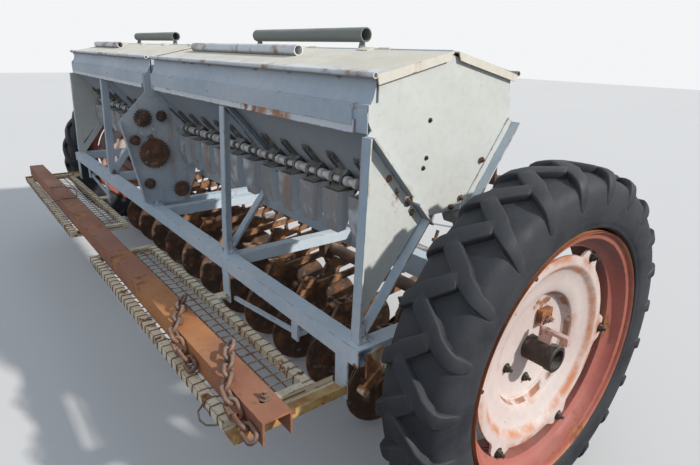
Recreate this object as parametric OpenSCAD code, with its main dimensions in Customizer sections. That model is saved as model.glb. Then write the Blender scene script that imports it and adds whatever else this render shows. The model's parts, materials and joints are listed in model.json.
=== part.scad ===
// Trailed seed drill: two long sheet-metal hoppers on a low tube frame between
// two lugged drive wheels, with a row of double-disc openers under the frame,
// a footboard behind and an A-shaped drawbar with a folding stand in front.
// X runs to the machine's right, Y forwards and Z up; the ground is at Z = 0.

/* [Wheels] */
// Outer diameter of a tyre, over its lugs
tyre_d = 1235; // [1100:5:1300]
// Width of a tyre
tyre_w = 241; // [200:1:270]
// Height of the tread lugs above the carcass
lug_depth = 24; // [14:1:32]
// Number of lugs on each side of a tyre
lugs = 23; // [18:1:26]
// Diameter of the rim at its lips
rim_d = 864; // [780:2:900]
// Width of the rim over its lips
rim_w = 220; // [180:2:230]
// Diameter of a half axle
axle_d = 56; // [45:1:60]
// Gap between the frame's end and the tyre
wheel_gap = 99.5; // [60:0.5:160]

/* [Hoppers] */
// Length of one hopper
hopper_len = 1725; // [1500:5:1900]
// Gap between the two hoppers
hopper_gap = 70; // [60:2:110]
// Thickness of the hopper sheet
sheet = 3; // [2:0.5:5]
// Height of the hopper's floor above the frame
floor_rise = 345; // [310:5:390]
// Height of the hopper's rims above its floor
hopper_h = 420; // [370:5:470]
// Height of the ridge between the two lids above the rims
ridge_rise = 65; // [50:1:80]
// Width of a hopper across its shoulders
hopper_w = 614; // [560:2:680]
// Thickness of a lid
lid_t = 4; // [2:0.5:6]
// Depth of the turned-down ends of a lid
skirt = 22; // [10:1:30]
// Length of frame that stands out past each hopper
end_over = 60; // [50:1:90]

/* [Frame] */
// Height of the frame's top face above the wheel axis
frame_rise = 82.5; // [70:0.5:120]
// Side of the rear beam
rear_beam_s = 60; // [50:2:70]
// Wall of the frame's tubes
wall = 5; // [4:0.5:8]
// Depth of the front beam, along Y
front_beam_w = 65; // [50:1:80]
// Height of the front beam
front_beam_h = 100; // [90:2:110]
// Wall of the front beam
front_wall = 10; // [6:1:14]
// Distance from the wheel axis back to the rear beam's outer face
rear_y = 570; // [540:2:620]
// Distance from the wheel axis forward to the front beam's rear face
front_y = 115; // [105:1:130]

/* [Drawbar] */
// Distance from the wheel axis forward to the hitch eye's axis
hitch_y = 2600; // [2400:10:2900]
// Diameter of the hitch eye's hole
hitch_bore = 34; // [28:1:50]
// Height of the hitch eye's middle
hitch_z = 450; // [400:5:500]
// Outer diameter of a drawbar leg
leg_d = 90; // [80:2:100]
// Wall of a drawbar leg
leg_t = 8; // [5:1:12]

/* [Openers] */
// Distance between neighbouring seed rows
row_pitch = 150; // [135:1:170]
// Diameter of an opener's discs
disc_d = 350; // [310:5:360]
// Height of the discs' lowest point above the ground when parked
disc_clear = 8; // [4:1:20]
// Toe-in of each disc, degrees
disc_toe = 5.5; // [4:0.5:7]
// Distance from the wheel axis forward to the front row's discs
front_row_y = 150; // [130:5:165]
// Distance from the wheel axis back to the rear row's discs
rear_row_y = 115; // [100:5:130]

/* [Footboard] */
// Height of the frame's top above the footboard's walking face
board_drop = 145; // [120:5:165]
// Width of the footboard, along Y
board_w = 309; // [270:1:350]
// Distance from the rear beam back to the footboard's inner edge
board_gap = 70; // [50:2:90]
// Pitch of the mesh wires along the footboard
mesh_pitch = 50; // [40:1:60]

/* [Tow bar] */
// Width of the bar that lies on the footboard
bar_w = 90; // [80:1:100]
// Height of the bar
bar_h = 72; // [60:1:80]
// Wall of the bar
bar_t = 6; // [4:0.5:9]
// Diameter of the wire of a chain link
wire_d = 13; // [10:0.5:15]
// Outer length of a chain link
link_len = 72; // [66:1:84]
// Outer width of a chain link
link_w = 46; // [43:1:54]

/* [Hidden] */
$fn = 32;

// Gap left between pieces that rest on each other but are not one
seat = 0.3;
// Radial running clearance of a pin or shaft in its bore
run = 0.06;

// Heights, from the ground up
tyre_r = tyre_d / 2;
lip_r = rim_d / 2;
axle_z = tyre_r;
frame_top = axle_z + frame_rise;
floor_z = frame_top + floor_rise;
rim_z = floor_z + hopper_h;
ridge_z = rim_z + ridge_rise;
shoulder_z = rim_z - 135;
board_z = frame_top - board_drop;
side_bot = axle_z + axle_d / 2 + 0.5;

// Places along X
hopper_x0 = hopper_gap / 2;
hopper_x1 = hopper_x0 + hopper_len;
frame_end = hopper_x1 + end_over;
frame_len = 2 * frame_end;
wheel_x = frame_end + wheel_gap + tyre_w / 2;
openers = 2 * floor((frame_end - 20) / row_pitch + 0.5);
function row_x(i) = (i - (openers - 1) / 2) * row_pitch;

// Places along Y
ridge_y = -197.5;
rear_sh_y = ridge_y - hopper_w / 2 - 2;
front_sh_y = ridge_y + hopper_w / 2 - 5;
rear_eave_y = rear_sh_y + 27.5;
front_eave_y = front_sh_y - 12.5;
floor_rear_y = ridge_y - 48.5;
floor_front_y = ridge_y + 88.5;
rear_in_y = -rear_y + rear_beam_s;
front_face = front_y + front_beam_w;
board_y = rear_y + board_gap;
board_rear = board_y + board_w;
eye_r = hitch_bore / 2 + 28;
// The origin lies under the middle of the whole machine's length
mid_y = (hitch_y + eye_r - board_rear) / 2;

// Places a machine part so that the origin lies under the middle of its length
module place() {
    translate([0, -mid_y, 0]) children();
}

// Draws a part as it is and once more in its mirror image on the other side
module both_sides() {
    children();
    mirror([1, 0, 0]) children();
}

// Extrudes an outline drawn in Y and Z along X, from x0 over the length len
module along_x(x0, len) {
    translate([x0, 0, 0]) rotate([90, 0, 90]) linear_extrude(len) children();
}

// A square tube along X with open ends
module tube_x(x0, len, y0, z0, w, h, t) {
    along_x(x0, len) translate([y0, z0]) difference() {
        square([w, h]);
        translate([t, t]) square([w - 2 * t, h - 2 * t]);
    }
}

// A square tube along Y with open ends
module tube_y(x0, y0, len, z0, w, h, t) {
    translate([x0, y0 + len, z0]) rotate([90, 0, 0]) linear_extrude(len) difference() {
        square([w, h]);
        translate([t, t]) square([w - 2 * t, h - 2 * t]);
    }
}

// A round bar along X about the line at y and z
module rod_x(x0, len, y, z, r) {
    translate([x0, y, z]) rotate([0, 90, 0]) cylinder(r = r, h = len);
}

function unit(v) = v / norm(v);
function left_of(v) = [-v[1], v[0]];

// Outline of a flat bar from p to q, t wide, in the plane of Y and Z
function bar(p, q, t) = let (n = left_of(unit(q - p)) * t / 2) [p - n, q - n, q + n, p + n];

// Outline of the strip, t thick, along the left edge of such a bar of width w
function edge(p, q, w, t) = let (n = left_of(unit(q - p))) bar(p + n * (w - t) / 2, q + n * (w - t) / 2, t);

// The same closed outline moved inwards by t; points run anticlockwise
function inset(pts, t) = [for (i = [0:len(pts) - 1])
    let (n = len(pts),
        a = unit(pts[i] - pts[(i + n - 1) % n]),
        b = unit(pts[(i + 1) % n] - pts[i]),
        m = left_of(a) + left_of(b))
    pts[i] + m * t / (1 + left_of(a) * left_of(b))];

// An angle iron from p to q: a web w wide and a flange on its left edge, depth along X
module angle_iron(x0, p, q, w, depth, t) {
    along_x(x0, t) polygon(bar(p, q, w));
    along_x(x0, depth) polygon(edge(p, q, w, t));
}

// A stud with its nut, standing up from z0 at x and y
module stud(x, y, z0, r, h) {
    translate([x, y, z0]) {
        cylinder(r = r, h = h);
        cylinder(r = r * 2, h = r * 1.6, $fn = 6);
    }
}

// Frame

module front_beam() color("lightsteelblue") place() {
    tube_x(-frame_end, frame_len, front_y, frame_top - front_beam_h,
        front_beam_w, front_beam_h, front_wall);
}

module rear_beam() color("lightsteelblue") place() {
    tube_x(-frame_end, frame_len, -rear_y, frame_top - rear_beam_s,
        rear_beam_s, rear_beam_s, wall);
}

side_w = 60;
module side_members() color("lightsteelblue") place() {
    for (x = [-frame_end, frame_end - side_w])
        tube_y(x, rear_in_y, front_y - rear_in_y, side_bot, side_w, frame_top - side_bot, wall);
}

cross_x = 900;
inner_cross_x = 70;
cross_w = 50;
module cross_members() color("lightsteelblue") place() {
    for (x = [-cross_x, -inner_cross_x, inner_cross_x, cross_x])
        tube_y(x - cross_w / 2, rear_in_y, front_y - rear_in_y, side_bot,
            cross_w, frame_top - side_bot - 4, wall);
}

axle_in = cross_x - 40;
saddle_w = 50;
module half_axles() color("dimgray") place() both_sides() {
    rod_x(axle_in, wheel_x + rim_w / 2 - 55 - axle_in, 0, axle_z, axle_d / 2);
    for (x = [cross_x, frame_end - side_w / 2])
        along_x(x - saddle_w / 2, saddle_w) difference() {
            translate([-50, axle_z - 45]) square([100, side_bot - axle_z + 45]);
            translate([0, axle_z]) circle(r = axle_d / 2 - 1);
        }
}

disc_r = disc_d / 2;
disc_z = disc_r + disc_clear;
pivot_y = 520;
pivot_z = disc_z + 257;
pivot_r = 10;
beam_s = 60;
// Hangers, as shares of half the opener beam's length, from its middle to its end
hangers = [0, 0.1667, 0.5, 0.8333, 0.9944];
// Beam ahead of the frame with the rod that the openers' draw bars swing on
module opener_beam() color("slategray") place() {
    half = frame_end - 20;
    beam_z = pivot_z + 40;
    tube_x(-half, 2 * half, pivot_y - beam_s / 2, beam_z, beam_s, beam_s, wall);
    rod_x(-half, 2 * half, pivot_y, pivot_z, pivot_r);
    for (s = [-1, 1], f = hangers) {
        along_x(s * f * half - 6, 12) polygon([[front_face, frame_top - front_beam_h],
            [pivot_y - beam_s / 2, beam_z + 5], [pivot_y - beam_s / 2, beam_z + beam_s - 5],
            [front_face, frame_top - front_beam_h + 36]]);
        along_x(s * f * half - 6, 12) polygon([[pivot_y - 25, beam_z], [pivot_y - 16, pivot_z - 14],
            [pivot_y + 16, pivot_z - 14], [pivot_y + 25, beam_z]]);
    }
}

shaft_y = front_face + 45;
shaft_z = frame_top - 32;
shaft_r = 25;
bearing_x = [3 * row_pitch, 9 * row_pitch];
module lift_bearings() color("lightgray") place() both_sides() {
    for (x = bearing_x) {
        along_x(x - 12, 24) difference() {
            union() {
                translate([shaft_y, shaft_z]) circle(r = shaft_r + 12);
                translate([front_face, shaft_z - 20]) square([shaft_y - front_face, 40]);
            }
            translate([shaft_y, shaft_z]) circle(r = shaft_r + run);
        }
    }
}

// Drawbar: two pipes on the front beam that meet in the nose

leg_r = leg_d / 2;
leg_root = 5.5 * row_pitch;
leg_tip = 70;
leg_axis_z = frame_top + leg_r;
nose_y = hitch_y - 180;
leg_run = nose_y - front_y;
leg_turn = atan((leg_root - leg_tip) / leg_run);
leg_len = norm([leg_root - leg_tip, leg_run]);
function leg_x(y) = leg_root - (leg_root - leg_tip) * (y - front_y) / leg_run;
module drawbar_leg() {
    translate([leg_root, front_y, leg_axis_z]) rotate([0, 0, leg_turn]) rotate([-90, 0, 0])
        difference() {
            cylinder(r = leg_r, h = leg_len);
            translate([0, 0, -1]) cylinder(r = leg_r - leg_t, h = leg_len - 20);
        }
    // Shoe that the pipe is welded on above the front beam
    translate([leg_root - 24, front_y + 6, frame_top + seat])
        cube([48, front_beam_w - 12, leg_r * 0.4]);
}

tie_y = 1150;
cyl_y = 1060;
cyl_z = frame_top - 30;
stand_x = 0;
stand_y = hitch_y - 320;
stand_z = frame_top - 100;
pin_r = 12;
module drawbar() color("steelblue") place() {
    both_sides() drawbar_leg();
    tip_w = leg_tip + leg_r;
    translate([-tip_w, nose_y - 4, frame_top]) cube([2 * tip_w, 18, leg_d]);
    // Plates above and below the nose
    for (z = [frame_top + leg_d - 4, frame_top - 6])
        translate([-tip_w, nose_y - 260, z]) cube([2 * tip_w, 274, 10]);
    // Cross tie with the ears that the lift cylinder is pinned to
    half = leg_x(tie_y) - leg_r + leg_t;
    translate([-half, tie_y, frame_top + 20]) cube([2 * half, 12, leg_d - 30]);
    for (x = [-34, 22]) along_x(x, 12) polygon([[tie_y, frame_top + 22], [tie_y, frame_top + 66],
        [cyl_y - 6, cyl_z + 22], [cyl_y - 20, cyl_z], [cyl_y - 12, cyl_z - 20], [cyl_y + 16, cyl_z - 20]]);
    rod_x(-34, 68, cyl_y, cyl_z, pin_r);
    // Ears of the folding stand
    for (x = [stand_x - 32, stand_x + 22]) along_x(x, 10)
        polygon([[stand_y - 30, frame_top - 5], [stand_y - 30, stand_z - 5],
            [stand_y - 12, stand_z - 26], [stand_y + 12, stand_z - 26],
            [stand_y + 30, stand_z - 5], [stand_y + 30, frame_top - 5]]);
    rod_x(stand_x - 32, 64, stand_y, stand_z, pin_r - 1);
}

module hitch() color("dimgray") place() {
    root = nose_y + 14;
    difference() {
        union() {
            translate([0, hitch_y, hitch_z - 20]) cylinder(r = eye_r, h = 40);
            translate([-35, root, hitch_z - 20]) cube([70, hitch_y - root, 40]);
            translate([-60, root, hitch_z - 30]) cube([120, 16, frame_top + leg_d - hitch_z + 30]);
            along_x(-10, 20) polygon([[root + 16, hitch_z + 20], [hitch_y - eye_r - 15, hitch_z + 20],
                [root + 16, frame_top - 20]]);
        }
        translate([0, hitch_y, hitch_z - 30]) cylinder(r = hitch_bore / 2, h = 60);
    }
}

// Hoppers

lip = rear_sh_y - 6;
function hopper_outline() = [[rear_eave_y, rim_z], [rear_eave_y, rim_z - 65],
    [lip, rim_z - 70], [lip, shoulder_z + 22], [rear_sh_y + 6, shoulder_z],
    [floor_rear_y, floor_z], [floor_front_y, floor_z], [front_sh_y - 4, shoulder_z],
    [front_sh_y, shoulder_z + 22], [front_sh_y, rim_z - 70], [front_eave_y, rim_z - 65],
    [front_eave_y, rim_z]];

hinge_r = 6;
hinge_z = ridge_z + 3;
tab_x0 = 4;
tab_pitch = (hopper_len - 2 * tab_x0 - 12) / 4;
module hopper() {
    out = hopper_outline();
    wall_in = inset(out, sheet);
    difference() {
        along_x(hopper_x0, hopper_len) polygon(concat(out, [[ridge_y, ridge_z - 5]]));
        along_x(hopper_x0 + sheet, hopper_len - 2 * sheet)
            polygon([for (i = [0:11]) i == 0 || i == 11
                ? [wall_in[i][0] + (i == 0 ? sheet : -sheet), ridge_z + 100] : wall_in[i]]);
    }
    // Folded rail along the rear shoulder
    along_x(hopper_x0 + 30, hopper_len - 90) polygon([[lip + 1, shoulder_z + 64], [lip - 8, shoulder_z + 60],
        [lip - 10, shoulder_z + 8], [lip + 4, shoulder_z + 2], [lip + 2, shoulder_z + 14]]);
    // Partition under the ridge
    along_x(hopper_x0 + sheet, hopper_len - 2 * sheet)
        translate([ridge_y - sheet / 2, floor_z + sheet]) square([sheet, ridge_z - 12 - floor_z - sheet]);
    // Hinge rod along the ridge on small tabs
    rod_x(hopper_x0, hopper_len, ridge_y, hinge_z, hinge_r);
    for (i = [0:4]) along_x(hopper_x0 + tab_x0 + i * tab_pitch, 12)
        translate([ridge_y - 3, hinge_z - 20]) square([6, 20]);
}

module hopper_right() color("gainsboro") place() hopper();
module hopper_left() color("gainsboro") place() mirror([1, 0, 0]) hopper();

// Lids: flat sheets that swing about the ridge rods

knuckle_r = 9.5;
knuckle_len = 60;
knuckle_pitch = tab_pitch - 8;
lid_gap = 13;
lid_over = 16;
lid_past = 12;

// Height of a lid's upper face at y
function lid_top(y, side, eave) = let (f = (y - ridge_y) * side / ((eave - ridge_y) * side + lid_over))
    ridge_z + 1 + f * (rim_z - ridge_z + 2) + lid_t * 0.9;

module lid_sheet(side, eave) {
    top = [ridge_y + side * lid_gap, ridge_z + 1];
    low = [eave + side * lid_over, rim_z + 3];
    n = left_of(unit(low - top)) * -side;
    outline = side < 0 ? [top, low, low - n * lid_t, top - n * lid_t]
        : [top, top - n * lid_t, low - n * lid_t, low];
    x0 = hopper_x0 + 2;
    along_x(x0, hopper_len + lid_past - 2) polygon(outline);
    // Turned-down end outside the hopper's end panel
    along_x(hopper_x1 + lid_past - lid_t, lid_t) polygon(side < 0
        ? [top - n, low - n, low - n + [6, -skirt], top - n + [-8, -skirt]]
        : [top - n, top - n + [8, -skirt], low - n + [-6, -skirt], low - n]);
    // Rolled eave: a thin tube along the lid's lower edge
    tube_r = 9;
    difference() {
        rod_x(x0, hopper_len + lid_past - 2, low[0] + side * 7, low[1] + 3, tube_r);
        for (x = [x0 - 1, hopper_x1 + lid_past - 60]) rod_x(x, 61, low[0] + side * 7, low[1] + 3, tube_r - 3);
    }
}

// A lid: first is the place of its first knuckle; the rest places its pipe handle
module lid(side, eave, first, pipe_x0, pipe_len, pipe_out, pipe_up, pipe_r) {
    pipe_y = ridge_y + side * pipe_out;
    pipe_z = ridge_z + pipe_up;
    difference() {
        union() {
            lid_sheet(side, eave);
            for (i = [0:3]) {
                rod_x(hopper_x0 + first + i * knuckle_pitch, knuckle_len, ridge_y, hinge_z, knuckle_r);
                along_x(hopper_x0 + first + i * knuckle_pitch, knuckle_len)
                    polygon(bar([ridge_y + side * 4, hinge_z + 6], [ridge_y + side * 34, ridge_z + 1], 5));
            }
        }
        rod_x(hopper_x0 - 1, hopper_len + 30, ridge_y, hinge_z, hinge_r + run);
    }
    // Pipe handle on its two brackets
    difference() {
        rod_x(hopper_x0 + pipe_x0, pipe_len, pipe_y, pipe_z, pipe_r);
        for (x = [pipe_x0 - 1, pipe_x0 + pipe_len - 80])
            rod_x(hopper_x0 + x, 81, pipe_y, pipe_z, pipe_r - 4);
    }
    for (x = [pipe_x0 + 20, pipe_x0 + pipe_len - 28]) along_x(hopper_x0 + x, 8)
        polygon([[pipe_y - 26, lid_top(pipe_y - 26, side, eave) - lid_t],
            [pipe_y + 26, lid_top(pipe_y + 26, side, eave) - lid_t],
            [pipe_y + 10, pipe_z - pipe_r + 3], [pipe_y - 10, pipe_z - pipe_r + 3]]);
}

// Pipe handles: distance out from the ridge, rise above it and radius
rear_pipe = [133.5, -4, 20];
front_pipe = [175.5, 60, 28];
module lid_rear_right() color("ivory") place()
    lid(-1, rear_eave_y, 60, 155, 950, rear_pipe[0], rear_pipe[1], rear_pipe[2]);
module lid_front_right() color("ivory") place()
    lid(1, front_eave_y, 140, 235, 880, front_pipe[0], front_pipe[1], front_pipe[2]);
module lid_rear_left() color("ivory") place() mirror([1, 0, 0])
    lid(-1, rear_eave_y, 60, hopper_len - 680, 620, rear_pipe[0], rear_pipe[1], rear_pipe[2]);
module lid_front_left() color("ivory") place() mirror([1, 0, 0])
    lid(1, front_eave_y, 140, hopper_len - 890, 820, front_pipe[0], front_pipe[1], front_pipe[2]);

// Stands of angle iron between the frame and the hoppers

post_w = 38;
iron_t = 5;
// Lower X of a middle and an end stand on the right-hand side
support_x = [cross_x - 24, hopper_x1 + seat];
unit_shaft_y = floor_rear_y - 104;
unit_shaft_z = floor_z + 65;
collar_r = 18;
shaft_cut = collar_r + 2;
module hopper_supports() color("lightsteelblue") place() both_sides() {
    sh = [rear_sh_y + 6, shoulder_z];
    fl = [floor_rear_y, floor_z];
    n = left_of(unit(fl - sh)) * -1;
    front_sh = [front_sh_y - 4, shoulder_z];
    front_fl = [floor_front_y, floor_z];
    m = left_of(unit(front_sh - front_fl)) * -1;
    foot = [-rear_y + 48, frame_top + 45];
    front_foot = [front_y + front_beam_w / 2, frame_top + 40];
    difference() {
        for (x = support_x) {
            // Irons along both slopes of the hopper
            angle_iron(x, fl + n * 14, sh + n * 14, 28, post_w, iron_t);
            angle_iron(x, front_sh + m * 14, front_fl + m * 14, 28, post_w, iron_t);
            // Post and brace down to the foot on the rear beam
            angle_iron(x, foot + [-8, -20], sh + n * 14 + [0, -8], 42, post_w, iron_t);
            angle_iron(x, foot + [14, -20], fl + n * 14 + [-8, 6], 34, post_w, iron_t);
            // Brace down to the front beam
            angle_iron(x, front_fl + m * 14 + [8, 6], front_foot, 34, post_w, iron_t);
            // Feet with their bolts
            along_x(x, post_w) polygon([[-rear_y + 22, frame_top], [rear_in_y + 20, frame_top],
                [rear_in_y + 20, frame_top + 8], [-rear_y + 30, frame_top + 8],
                [-rear_y + 30, frame_top + 60], [-rear_y + 22, frame_top + 60]]);
            along_x(x, iron_t) polygon([[-rear_y + 24, frame_top + 2], [rear_in_y + 18, frame_top + 2],
                [rear_in_y + 10, frame_top + 58], [-rear_y + 24, frame_top + 58]]);
            along_x(x, post_w) polygon([[front_y + 4, frame_top], [front_face - 4, frame_top],
                [front_face - 4, frame_top + 8], [front_y + 4, frame_top + 8]]);
            along_x(x, iron_t) polygon([[front_y + 6, frame_top + 2], [front_face - 6, frame_top + 2],
                [front_face - 14, frame_top + 54], [front_y + 14, frame_top + 54]]);
            stud(x + post_w / 2 + 4, -rear_y + 44, frame_top + 6, 9, 50);
        }
        rod_x(0, hopper_x1 + post_w + 20, unit_shaft_y, unit_shaft_z, shaft_cut);
        rod_x(0, hopper_x1 + post_w + 20, grain_y, grain_shaft_z, shaft_cut);
    }
    // Gusset at the end panel
    along_x(hopper_x1 + seat, iron_t) difference() {
        polygon([[-rear_y + 35, frame_top + 50], sh + [4, -40], fl + [-40, 0]]);
        translate([unit_shaft_y, unit_shaft_z]) circle(r = shaft_cut);
    }
}

// Drive plate between the two hoppers, with its chain wheels

plate_t = 6;
// Corners of the plate, measured from the top edge of the rear beam
plate_pts = [[219, 0], [2, 0], [-28, 22], [-113, floor_rise + 114],
    [48, floor_rise + 273], [320, floor_rise - 13]];
module drive_plate() color("lightsteelblue") place() translate([0, -rear_y, frame_top]) {
    along_x(-plate_t / 2, plate_t) polygon(plate_pts);
    along_x(-plate_t / 2, 30) polygon(bar(plate_pts[2] + [2, 4], plate_pts[3] + [2, -4], 5));
    // Foot on the rear beam
    along_x(-40, 80) square([rear_beam_s, 10]);
    for (x = [-28, 28]) stud(x, rear_beam_s / 2, 8, 7, 22);
    // Tab with a round head that stands up between the hoppers
    along_x(-plate_t / 2, plate_t) {
        polygon([[30, floor_rise + 250], [74, floor_rise + 240], [88, floor_rise + 330], [34, floor_rise + 330]]);
        translate([61, floor_rise + 330]) circle(r = 27);
    }
    // Stub pins on the plate
    for (p = [[-6, floor_rise + 46], [50, floor_rise + 66]]) rod_x(plate_t / 2 - 1, 26, p[0], p[1], 8);
}

// Outline of a chain wheel: n teeth between the radii r - depth and r
function toothed(r, n, depth) = [for (i = [0:n - 1], c = [[0, 0], [0.25, 1], [0.5, 1], [0.75, 0]])
    let (a = (i + c[0]) * 360 / n, q = r - depth + c[1] * depth) [q * cos(a), q * sin(a)]];

// Columns: y and z from the rear beam's top edge, radius, thickness, hub radius, teeth
wheel_table = [[3, floor_rise + 127, 48, 8, 22, 18], [-49, floor_rise + 18, 26, 22, 12, 0],
    [47, floor_rise - 60, 80, 12, 34, 30], [5, 125, 28, 16, 14, 0],
    [179, 73, 46, 10, 18, 16], [98, floor_rise + 133, 30, 16, 12, 12]];
module drive_wheels() color("saddlebrown") place() translate([0, -rear_y, frame_top])
    for (w = wheel_table) {
        x = plate_t / 2;
        rod_x(x, 12, w[0], w[1], w[4]);
        along_x(x + 12, w[3]) translate([w[0], w[1]])
            if (w[5] > 0) polygon(toothed(w[2], w[5], 7)); else circle(r = w[2]);
        rod_x(x + 12 + w[3], 10, w[0], w[1], w[4]);
        rod_x(x + 22 + w[3], 8, w[0], w[1], w[4] / 2);
    }

// Metering units under both slopes, one of each kind for each seed row

unit_w = 70;
shaft_fit = 0.5;
unit_shaft_r = 13;
// Half width of a spout on its side that faces away from the machine's middle
function out_w(x, w) = min(w, hopper_x1 - abs(x));
module fertiliser_units() color("darkgray") place() {
    sh = [rear_sh_y + 6, shoulder_z];
    fl = [floor_rear_y, floor_z];
    u = unit(fl - sh);
    n = left_of(u) * -1;
    top = fl - u * 137 + n * seat;
    hub = [unit_shaft_y, unit_shaft_z];
    back = [[-40, -24], [34, -24], [26, -110], [6, -178], [-28, -184], [-42, -120]];
    // Radius of the housing round the shaft, just clear of the slope
    boss_r = (hub - fl) * n - 1;
    for (i = [0:openers - 1]) {
        x = row_x(i);
        // Housing with the shaft's bore
        along_x(x - unit_w / 2, unit_w) difference() {
            union() {
                polygon([top, top + u * 115, hub + [58, -42], hub + [30, -70], hub + [-30, -70],
                    hub + [-38, 2], top + n * 34]);
                translate(hub) circle(r = boss_r);
            }
            translate(hub) circle(r = unit_shaft_r + shaft_fit);
        }
        // Slide on the slope above the housing, with its ribs
        along_x(x - 20, 40) polygon([top + n + u * 8, top + n * 6 + u * 8, top + n * 6 - u * 84,
            top + n - u * 84]);
        for (k = [0:2]) along_x(x - 18 + k * 15, 6)
            polygon([top + n * 4 - u * 6, top + n * 13 - u * 10, top + n * 13 - u * 74, top + n * 4 - u * 80]);
        // Wide spout below, open underneath, tapering towards its mouth
        w = 46;
        s = x < 0 ? -1 : 1;
        wide = out_w(x, w);
        mirror([s < 0 ? 1 : 0, 0, 0]) translate([abs(x), 0, 0]) difference() {
            intersection() {
                along_x(-w, w + wide) translate(hub) polygon(back);
                translate([0, hub[0] + 60, hub[1]]) rotate([90, 0, 0]) linear_extrude(120)
                    polygon([[-w, 0], [-w, -60], [-32, -200], [32, -200], [wide, -60], [wide, 0]]);
            }
            intersection() {
                along_x(-w + 4, w + wide - 8) translate(hub) polygon([[-34, -74], [24, -74],
                    [20, -110], [0, -186], [-24, -192], [-36, -120]]);
                translate([0, hub[0] + 60, hub[1]]) rotate([90, 0, 0]) linear_extrude(120)
                    polygon([[4 - w, -70], [-28, -201], [28, -201], [wide - 4, -70]]);
            }
        }
    }
}

module fertiliser_shafts() color("silver") place() both_sides() {
    shaft_end = hopper_x1 + 3;
    rod_x(plate_t / 2 + seat, shaft_end - plate_t / 2, unit_shaft_y, unit_shaft_z, unit_shaft_r);
    // A pair of coupling collars between neighbouring units
    for (i = [openers / 2:openers - 2], d = [unit_w / 2 + 6, row_pitch - unit_w / 2 - 26])
        rod_x(row_x(i) + d, 20, unit_shaft_y, unit_shaft_z, collar_r);
}

grain_y = floor_front_y + 59;
grain_shaft_z = floor_z - 5;
grain_shaft_r = 11;
module grain_units() color("darkgray") place() {
    fl = [floor_front_y, floor_z];
    sh = [front_sh_y - 4, shoulder_z];
    u = unit(sh - fl);
    n = left_of(u) * -1;
    a = fl + u * 20 + n * seat;
    for (i = [0:openers - 1]) {
        x = row_x(i);
        along_x(x - unit_w / 2, unit_w) difference() {
            union() {
                polygon([a, fl + [-1, -30], fl + [13, -60], fl + [89, -60], fl + [109, 15],
                    a + u * 120 + n * 12, a + u * 120]);
                translate([grain_y, grain_shaft_z]) circle(r = 34);
            }
            translate([grain_y, grain_shaft_z]) circle(r = grain_shaft_r + shaft_fit);
        }
        // Cup that the seed falls into
        translate([x, grain_y, grain_shaft_z - 96]) difference() {
            cylinder(r1 = 20, r2 = 32, h = 70);
            translate([0, 0, -1]) cylinder(r1 = 16, r2 = 26, h = 50);
        }
    }
}

module grain_shafts() color("silver") place() both_sides() {
    rod_x(plate_t / 2 + seat, hopper_x1 + 3 - plate_t / 2, grain_y, grain_shaft_z, grain_shaft_r);
}

// Legs below the rear beam, their tie rod and the footboard

leg_at = [cross_x + 30, hopper_x1 - 20];
leg_bot = board_z - 55;
leg_deep = 50;
module frame_legs() color("lightsteelblue") place() both_sides() {
    for (x = leg_at) along_x(x - 30, 60) difference() {
        translate([-rear_y, leg_bot]) square([leg_deep, frame_top - rear_beam_s - leg_bot]);
        translate([-rear_y + 6, leg_bot - 1]) square([leg_deep, frame_top - rear_beam_s - leg_bot - 5]);
    }
}

tie_end = 1436;
module truss_rod() color("silver") place() both_sides() {
    tie_z = board_z + 25;
    // Bracket below the beam with the stub that the rod's end is bolted to
    along_x(tie_end, 40) translate([-rear_y + 10, board_z + 5]) square([8, frame_top - rear_beam_s - board_z - 5]);
    translate([tie_end + 20, -rear_y + 10, tie_z]) rotate([-90, 0, 0]) cylinder(r = 14, h = 46);
    translate([0, -rear_y + 25, 0]) rotate([90, 0, 0]) linear_extrude(12, center = true)
        polygon(bar([leg_at[0] + 30, leg_bot + 18], [tie_end + 14, tie_z], 16));
}

rail_w = 34;
mesh_wire = 4;
board_angle = 72;
module footboard(x0, x1) {
    z0 = board_z - 30;
    len = x1 - x0;
    inner = board_w - 2 * rail_w;
    // Rails and end pieces
    translate([x0, -board_rear, z0]) cube([len, rail_w, 30]);
    translate([x0, -board_y - rail_w, z0]) cube([len, rail_w, 30]);
    for (x = [x0, x1 - 30]) translate([x, -board_rear, z0]) cube([30, board_w, 30]);
    // Mesh: wires across on top of wires along
    for (x = [x0 + mesh_pitch:mesh_pitch:x1 - 30 - mesh_wire])
        translate([x, -board_rear + rail_w - 1, z0 + 16]) cube([mesh_wire, inner + 2, mesh_wire]);
    for (k = [1:5]) translate([x0 + 20, -board_rear + rail_w + inner * k / 6, z0 + 13])
        cube([len - 40, mesh_wire, mesh_wire]);
    // Arm forward to the inner leg, and the angle iron that carries the outer end
    translate([leg_at[0] - 28, -board_y - 2, z0]) cube([56, board_gap + 2, 8]);
    difference() {
        translate([x1 - 2, -board_rear, z0]) cube([board_angle + 2, board_w + board_gap, 28]);
        translate([x1, -board_rear - 1, z0 + 7]) cube([board_angle - 7, board_w + board_gap + 2, 30]);
    }
}

board_x1 = hopper_x1 - 60;
module footboard_right() color("tan") place() footboard(220, board_x1);
module footboard_left() color("tan") place() mirror([1, 0, 0]) footboard(200, board_x1);

// Tow bar: a channel that lies upside down on the footboard
bar_y0 = -board_rear + 44;
bar_x0 = -hopper_x1 - 40;
bar_x1 = hopper_x1 + 90;
module tow_bar() color("rosybrown") place() difference() {
    translate([bar_x0, bar_y0, board_z]) cube([bar_x1 - bar_x0, bar_w, bar_h]);
    translate([bar_x0 - 1, bar_y0 + bar_t, board_z - 1])
        cube([bar_x1 - bar_x0 + 2, bar_w - 2 * bar_t, bar_h - bar_t + 1]);
    for (x = [bar_x1 - 80, bar_x0 + 25]) translate([x, bar_y0 + bar_w / 2, board_z + 10]) cylinder(r = 9, h = bar_h);
}

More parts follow.
